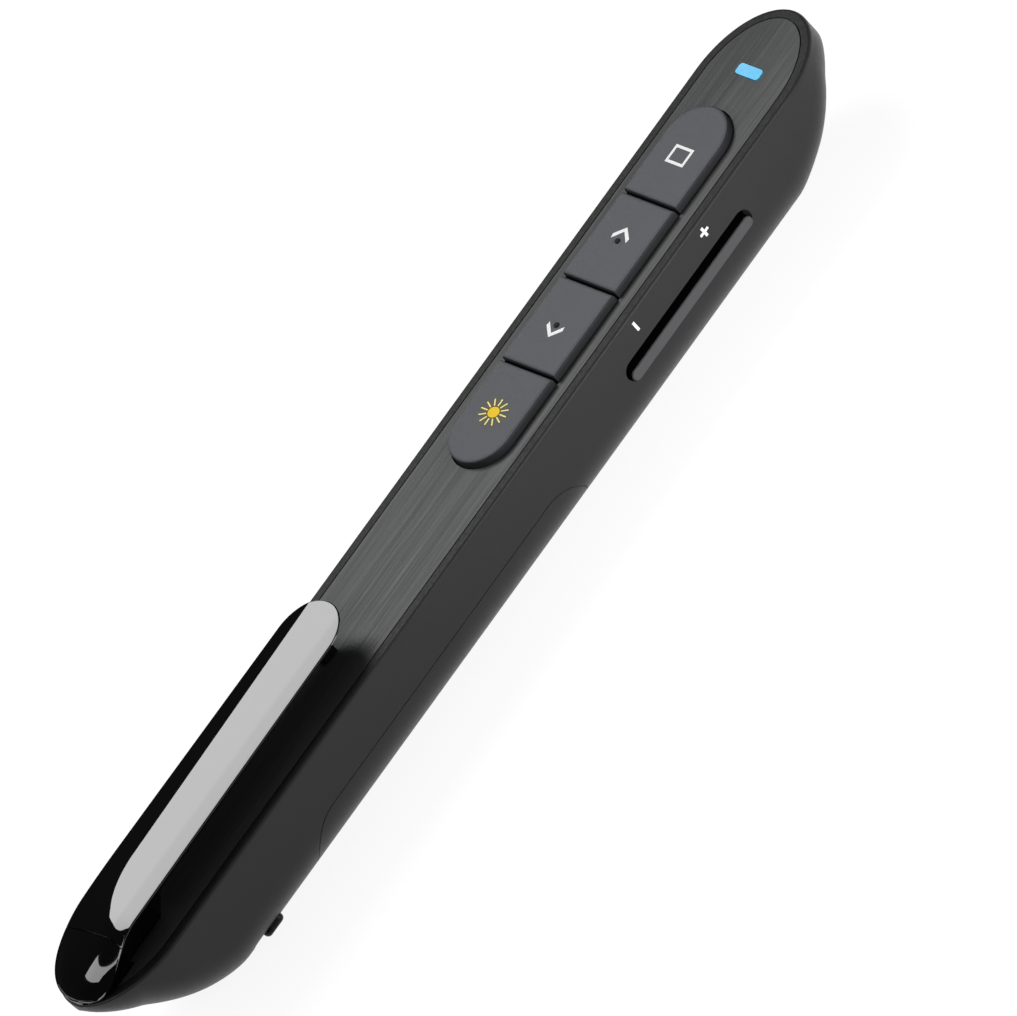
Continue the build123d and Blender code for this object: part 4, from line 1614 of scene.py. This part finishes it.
@dataclass
class PrintedMarks:
    """The thin printed signs on the keys and on the flank."""

    key_top: float = 14.7
    thickness: float = 0.03
    sink: float = 0.01
    window_x: float = 50.3
    window_size: Flat = (2.5, 3.2)
    up_x: float = 39.8
    down_x: float = 23.77
    laser_x: float = 12.8
    stroke: float = 0.46
    chevron_depth: float = 1.3
    chevron_half: float = 1.45
    chevron_stroke_share: float = 1.25
    chevron_inner_share: float = 0.92
    chevron_notch_share: float = 1.05
    sun_core: float = 0.74
    sun_stretch: float = 1.2
    ray_inner: float = 0.9
    ray_outer: float = 1.85
    ray_width: float = 0.17
    ray_count: int = 12
    ray_border: float = 0.12
    sun_points: int = 36
    up_dot_x: float = 37.8
    down_dot_x: float = 25.5
    dot_radii: Flat = (0.375, 0.315)
    dot_height: float = 0.17
    dot_points: int = 24
    square_stroke_share: float = 0.8
    side_y: float = -8.1
    side_z: float = 11.85
    plus_x: float = 43.7
    minus_x: float = 29.9
    sign_size: float = 1.45
    sign_stroke: float = 0.38

    def on_key(self, name: str, outline: Sequence[Flat]) -> bpy.types.Object:
        """A thin print on top of a key.

        Args:
            name: the object's name.
            outline: the print's outline as seen from above.

        Returns:
            The new object.
        """
        bottom = self.key_top - self.sink
        return prism(name, [(x, y, bottom) for x, y in outline], (0, 0, self.thickness))

    def window_mark(self) -> bpy.types.Object:
        """The square outline on the nose-end key.

        Returns:
            The new object.
        """
        length, width = self.window_size
        corners = ((-1, -1), (1, -1), (1, 1), (-1, 1))
        low = self.key_top - self.sink
        points: list[Point] = []
        for z in (low, low + self.thickness):
            for shrink in (0.0, self.stroke * self.square_stroke_share):
                for way_x, way_y in corners:
                    x, y = way_x * (length / 2 - shrink), way_y * (width / 2 - shrink)
                    points.append((self.window_x + x, y, z))
        faces = []
        for i in range(4):
            j = (i + 1) % 4
            faces += [
                (i, j, 4 + j, 4 + i),
                (8 + i, 8 + j, 12 + j, 12 + i),
                (i, j, 8 + j, 8 + i),
                (4 + i, 4 + j, 12 + j, 12 + i),
            ]
        return mesh_object("mark_window", points, faces)

    def chevron(self, name: str, apex: float, way: Way) -> bpy.types.Object:
        """A chevron that points at one end of the body.

        Args:
            name: the object's name.
            apex: the x of its point.
            way: the end that it points at.

        Returns:
            The new object.
        """
        back = -way.value * self.chevron_depth
        stroke = -way.value * self.stroke * self.chevron_stroke_share
        inner = self.chevron_half * self.chevron_inner_share
        outline = [
            (apex, 0.0),
            (apex + back, self.chevron_half),
            (apex + back + stroke, inner),
            (apex + stroke * self.chevron_notch_share, 0.0),
            (apex + back + stroke, -inner),
            (apex + back, -self.chevron_half),
        ]
        return self.on_key(name, outline)

    def dot_cap(self, name: str, x: float) -> bpy.types.Object:
        """A dark cap over a page key's small raised dot.

        Args:
            name: the object's name.
            x: the dot's place along the body.

        Returns:
            The new object.
        """
        heights = (self.key_top - self.sink, self.key_top + self.dot_height)
        base, crown = (
            [(a, b, z) for a, b in circle((x, 0), radius, self.dot_points)]
            for radius, z in zip(self.dot_radii, heights)
        )
        return capped(name, base, crown)

    def sun_rays(self, name: str, ink: Ink, border: float, height: float) -> bpy.types.Object:
        """The sun's rays, set round its core by geometry nodes.

        Args:
            name: the object's name.
            ink: what they are printed with.
            border: how much wider and longer they are than the pale rays.
            height: their thickness.

        Returns:
            The new object.
        """
        tree = bpy.data.node_groups.new(name, "GeometryNodeTree")
        panel = tree.interface
        panel.new_socket("Geometry", in_out="OUTPUT", socket_type="NodeSocketGeometry")
        for label, kind in (
            ("Rays", "NodeSocketInt"),
            ("Ring radius", "NodeSocketFloat"),
            ("Ray length", "NodeSocketFloat"),
            ("Ray width", "NodeSocketFloat"),
            ("Thickness", "NodeSocketFloat"),
        ):
            panel.new_socket(label, in_out="INPUT", socket_type=kind)
        add = tree.nodes.new
        inputs, outputs = add("NodeGroupInput"), add("NodeGroupOutput")
        places = add("GeometryNodeMeshCircle")
        ray = add("GeometryNodeMeshCube")
        size = add("ShaderNodeCombineXYZ")
        along = add("GeometryNodeInputPosition")
        aim = add("FunctionNodeAlignRotationToVector")
        aim.axis = "X"
        place = add("GeometryNodeInstanceOnPoints")
        real = add("GeometryNodeRealizeInstances")
        dress = add("GeometryNodeSetMaterial")
        dress.inputs["Material"].default_value = SHELF.get(ink)
        for source, target in (
            (inputs.outputs["Rays"], places.inputs["Vertices"]),
            (inputs.outputs["Ring radius"], places.inputs["Radius"]),
            (inputs.outputs["Ray length"], size.inputs["X"]),
            (inputs.outputs["Ray width"], size.inputs["Y"]),
            (inputs.outputs["Thickness"], size.inputs["Z"]),
            (size.outputs["Vector"], ray.inputs["Size"]),
            (along.outputs["Position"], aim.inputs["Vector"]),
            (places.outputs["Mesh"], place.inputs["Points"]),
            (ray.outputs["Mesh"], place.inputs["Instance"]),
            (aim.outputs["Rotation"], place.inputs["Rotation"]),
            (place.outputs["Instances"], real.inputs["Geometry"]),
            (real.outputs["Geometry"], dress.inputs["Geometry"]),
            (dress.outputs["Geometry"], outputs.inputs["Geometry"]),
        ):
            tree.links.new(source, target)
        carrier = mesh_object(name, [(0, 0, 0), (1, 0, 0), (0, 1, 0)], [(0, 1, 2)])
        modifier = carrier.modifiers.new("rays", "NODES")
        modifier.node_group = tree
        sizes = {
            "Rays": self.ray_count,
            "Ring radius": (self.ray_inner + self.ray_outer) / 2 * MM,
            "Ray length": (self.ray_outer - self.ray_inner + 2 * border) * MM,
            "Ray width": (self.ray_width + 2 * border) * MM,
            "Thickness": height * MM,
        }
        for item in panel.items_tree:
            if item.in_out == "INPUT":
                modifier[item.identifier] = sizes[item.name]
        bake(carrier)
        middle = (self.key_top - self.sink + height / 2) * MM
        stretch = Matrix.Diagonal((1.0, self.sun_stretch, 1.0, 1.0))
        carrier.data.transform(Matrix.Translation((self.laser_x * MM, 0, middle)) @ stretch)
        return carrier

    def side_sign(self, sign: Sign, x: float) -> bpy.types.Object:
        """A plus or a minus on the flank.

        Args:
            sign: the sign to print.
            x: its place along the body.

        Returns:
            The new object.
        """
        half, thin = self.sign_size / 2, self.sign_stroke / 2
        if sign is Sign.PLUS:
            corner = [(thin, half), (thin, thin), (half, thin)]
            outline = [
                *corner,
                *[(a, -b) for a, b in reversed(corner)],
                *[(-a, -b) for a, b in corner],
                *[(-a, b) for a, b in reversed(corner)],
            ]
        else:
            outline = [(thin, half), (thin, -half), (-thin, -half), (-thin, half)]
        start = self.side_y + self.sink
        points = [(x + a, start, self.side_z + b) for a, b in outline]
        return prism(sign.value, points, (0, -self.thickness, 0))

    def build(self) -> None:
        """Build and dress every mark."""
        core = [
            (self.laser_x + x, y * self.sun_stretch)
            for x, y in circle((0, 0), self.sun_core, self.sun_points)
        ]
        marks = (
            (self.window_mark(), WHITE_INK, Body.WINDOW_KEY),
            (self.chevron("mark_up", self.up_x, Way.NOSE), WHITE_INK, Body.UP_KEY),
            (self.chevron("mark_down", self.down_x, Way.TAIL), WHITE_INK, Body.DOWN_KEY),
            (self.dot_cap("mark_up_dot", self.up_dot_x), DOT_DARK, Body.UP_KEY),
            (self.dot_cap("mark_down_dot", self.down_dot_x), DOT_DARK, Body.DOWN_KEY),
            (self.on_key("mark_sun_core", core), YELLOW_INK, Body.LASER_KEY),
            (
                self.sun_rays("mark_sun_rays", PALE_INK, 0.0, self.thickness),
                PALE_INK,
                Body.LASER_KEY,
            ),
            (
                self.sun_rays("mark_sun_border", OLIVE_INK, self.ray_border, self.sink * 2),
                OLIVE_INK,
                Body.LASER_KEY,
            ),
            (self.side_sign(Sign.PLUS, self.plus_x), WHITE_INK, Body.ROOT),
            (self.side_sign(Sign.MINUS, self.minus_x), WHITE_INK, Body.ROOT),
        )
        for mark, ink, body in marks:
            finish_piece(mark, ink, body)


# ---------------------------------------------------------------- frame nodes


class FrameNodes:
    """Puts a finish on every frame node."""

    def build(self) -> None:
        """Dress each node's material slots."""
        for name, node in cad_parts.items():
            material = SHELF.get(NODE_FINISHES[name])
            if not node.material_slots:
                node.data.materials.append(material)
            for slot in node.material_slots:
                slot.material = material
            log.info("%s: %s", name, material.name)


# ---------------------------------------------------------------- studio


@dataclass(frozen=True)
class Softbox:
    """A rectangular lamp that faces a place on the clicker.

    The target is in millimetres and the distance and the size are in metres. The direction runs
    from the target to the lamp. The radiance is the brightness per unit of area and angle.
    """

    name: str
    target: Point
    direction: Point
    distance: float
    size: Flat
    radiance: float

    def build(self) -> None:
        """Add the lamp."""
        data = bpy.data.lights.new(self.name, "AREA")
        data.shape = "RECTANGLE"
        data.size, data.size_y = self.size
        data.energy = self.radiance * math.pi * self.size[0] * self.size[1]
        lamp = bpy.data.objects.new(self.name, data)
        out = Vector(self.direction).normalized()
        place = Matrix.Translation(Vector(self.target) * MM + out * self.distance)
        lamp.matrix_world = place @ out.to_track_quat("Z", "X").to_matrix().to_4x4()
        bpy.context.scene.collection.objects.link(lamp)


LAMPS = (
    Softbox("key_light", (-38, 0, 18), (0.225, 0.625, 0.755), 0.5, (0.22, 0.27), 9.0),
    Softbox("fill_light", (27, 0, 8), (0.22, -0.92, 0.24), 0.11, (0.1, 0.066), 5.6),
    Softbox("tail_light", (-66, 0, 17), (-0.55, 0.2, 0.74), 0.4, (0.085, 0.42), 6.0),
)


@dataclass
class Studio:
    """Camera, lamps, world and floor.

    Roll and tilt turn the view round the body's length and across it. The body's length points
    right and up in the picture by the two shares of picture_along. The camera's nearest and
    farthest distances are in metres.
    """

    roll: float = 49.0
    tilt: float = 13.0
    picture_along: Flat = (0.5865, 0.81)
    focus: Point = (0.0, 0.0, 13.6)
    shift_right: float = 8.45
    shift_up: float = -0.3
    lens: float = 1400.0
    sensor: float = 36.0
    picture_width: float = 117.0
    nearest: float = 0.1
    farthest: float = 40.0
    lamps: tuple[Softbox, ...] = LAMPS
    surround: float = 0.05
    floor_half: float = 900.0
    floor_tone: float = 0.82
    floor_glow: float = 1.12
    glow_share: float = 0.8

    def camera(self) -> None:
        """Set the camera, looking down on the keys and the rocker's flank."""
        roll, tilt = math.radians(self.roll), math.radians(self.tilt)
        along = Vector(
            (
                math.cos(tilt),
                -math.sin(tilt) * math.sin(roll),
                math.sin(tilt) * math.cos(roll),
            )
        )
        across = Vector((0, -math.cos(roll), -math.sin(roll)))
        cos_turn, sin_turn = self.picture_along
        right = along * cos_turn + across * sin_turn
        up = along * sin_turn - across * cos_turn
        right.normalize()
        back = right.cross(up).normalized()
        up = back.cross(right)
        target = Vector(self.focus) + right * self.shift_right + up * self.shift_up
        distance = self.picture_width * self.lens / self.sensor
        place = (target + back * distance) * MM
        data = bpy.data.cameras.new("camera")
        data.lens = self.lens
        data.sensor_width = self.sensor
        data.sensor_fit = "HORIZONTAL"
        data.clip_start, data.clip_end = self.nearest, self.farthest
        camera = bpy.data.objects.new("camera", data)
        turn = Matrix((right, up, back)).transposed().to_4x4()
        camera.matrix_world = Matrix.Translation(place) @ turn
        bpy.context.scene.collection.objects.link(camera)
        bpy.context.scene.camera = camera

    def world(self) -> None:
        """A dim even surround."""
        world = bpy.data.worlds.new("studio")
        world.use_nodes = True
        bpy.context.scene.world = world
        tree = world.node_tree
        background = tree.nodes["Background"]
        background.inputs["Color"].default_value = (*(self.surround,) * 3, 1)
        background.inputs["Strength"].default_value = 1.0

    def floor(self) -> None:
        """A plain pale floor that keeps a light shadow."""
        half = self.floor_half
        floor = mesh_object(
            "floor",
            [(-half, -half, 0), (half, -half, 0), (half, half, 0), (-half, half, 0)],
            [(0, 1, 2, 3)],
        )
        shader = Shader("pale_floor")
        tone = (*(self.floor_tone,) * 3, 1)
        shader.set(Base_Color=tone, Roughness=0.9, Specular_IOR_Level=0.1)
        glow = shader.node("ShaderNodeEmission", Strength_=self.floor_glow)
        path = shader.node("ShaderNodeLightPath")
        mirrored = shader.node("ShaderNodeMath", operation="MAXIMUM")
        seen = shader.node("ShaderNodeMath", operation="MAXIMUM")
        share = shader.node("ShaderNodeMath", operation="MULTIPLY")
        share.inputs[1].default_value = self.glow_share
        mixed = shader.node("ShaderNodeMixShader")
        shader.link(path.outputs["Is Glossy Ray"], mirrored.inputs[0])
        shader.link(path.outputs["Is Transmission Ray"], mirrored.inputs[1])
        shader.link(path.outputs["Is Camera Ray"], seen.inputs[0])
        shader.link(mirrored.outputs[0], seen.inputs[1])
        shader.link(seen.outputs[0], share.inputs[0])
        shader.link(share.outputs[0], mixed.inputs[0])
        shader.link(shader.surface.outputs["BSDF"], mixed.inputs[1])
        shader.link(glow.outputs[0], mixed.inputs[2])
        shader.link(mixed.outputs[0], shader.output.inputs["Surface"])
        floor.data.materials.append(shader.material)

    def build(self) -> None:
        """Set up the whole studio."""
        self.camera()
        for lamp in self.lamps:
            lamp.build()
        self.world()
        self.floor()
        bpy.context.scene.view_settings.view_transform = "Standard"


def main() -> None:
    """Build the clicker's looks and its studio."""
    logging.basicConfig(level=logging.INFO)
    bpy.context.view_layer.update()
    FrameNodes().build()
    BodyShell().build()
    TailClip().build()
    PrintedMarks().build()
    Studio().build()


if __name__ == "__main__":
    main()
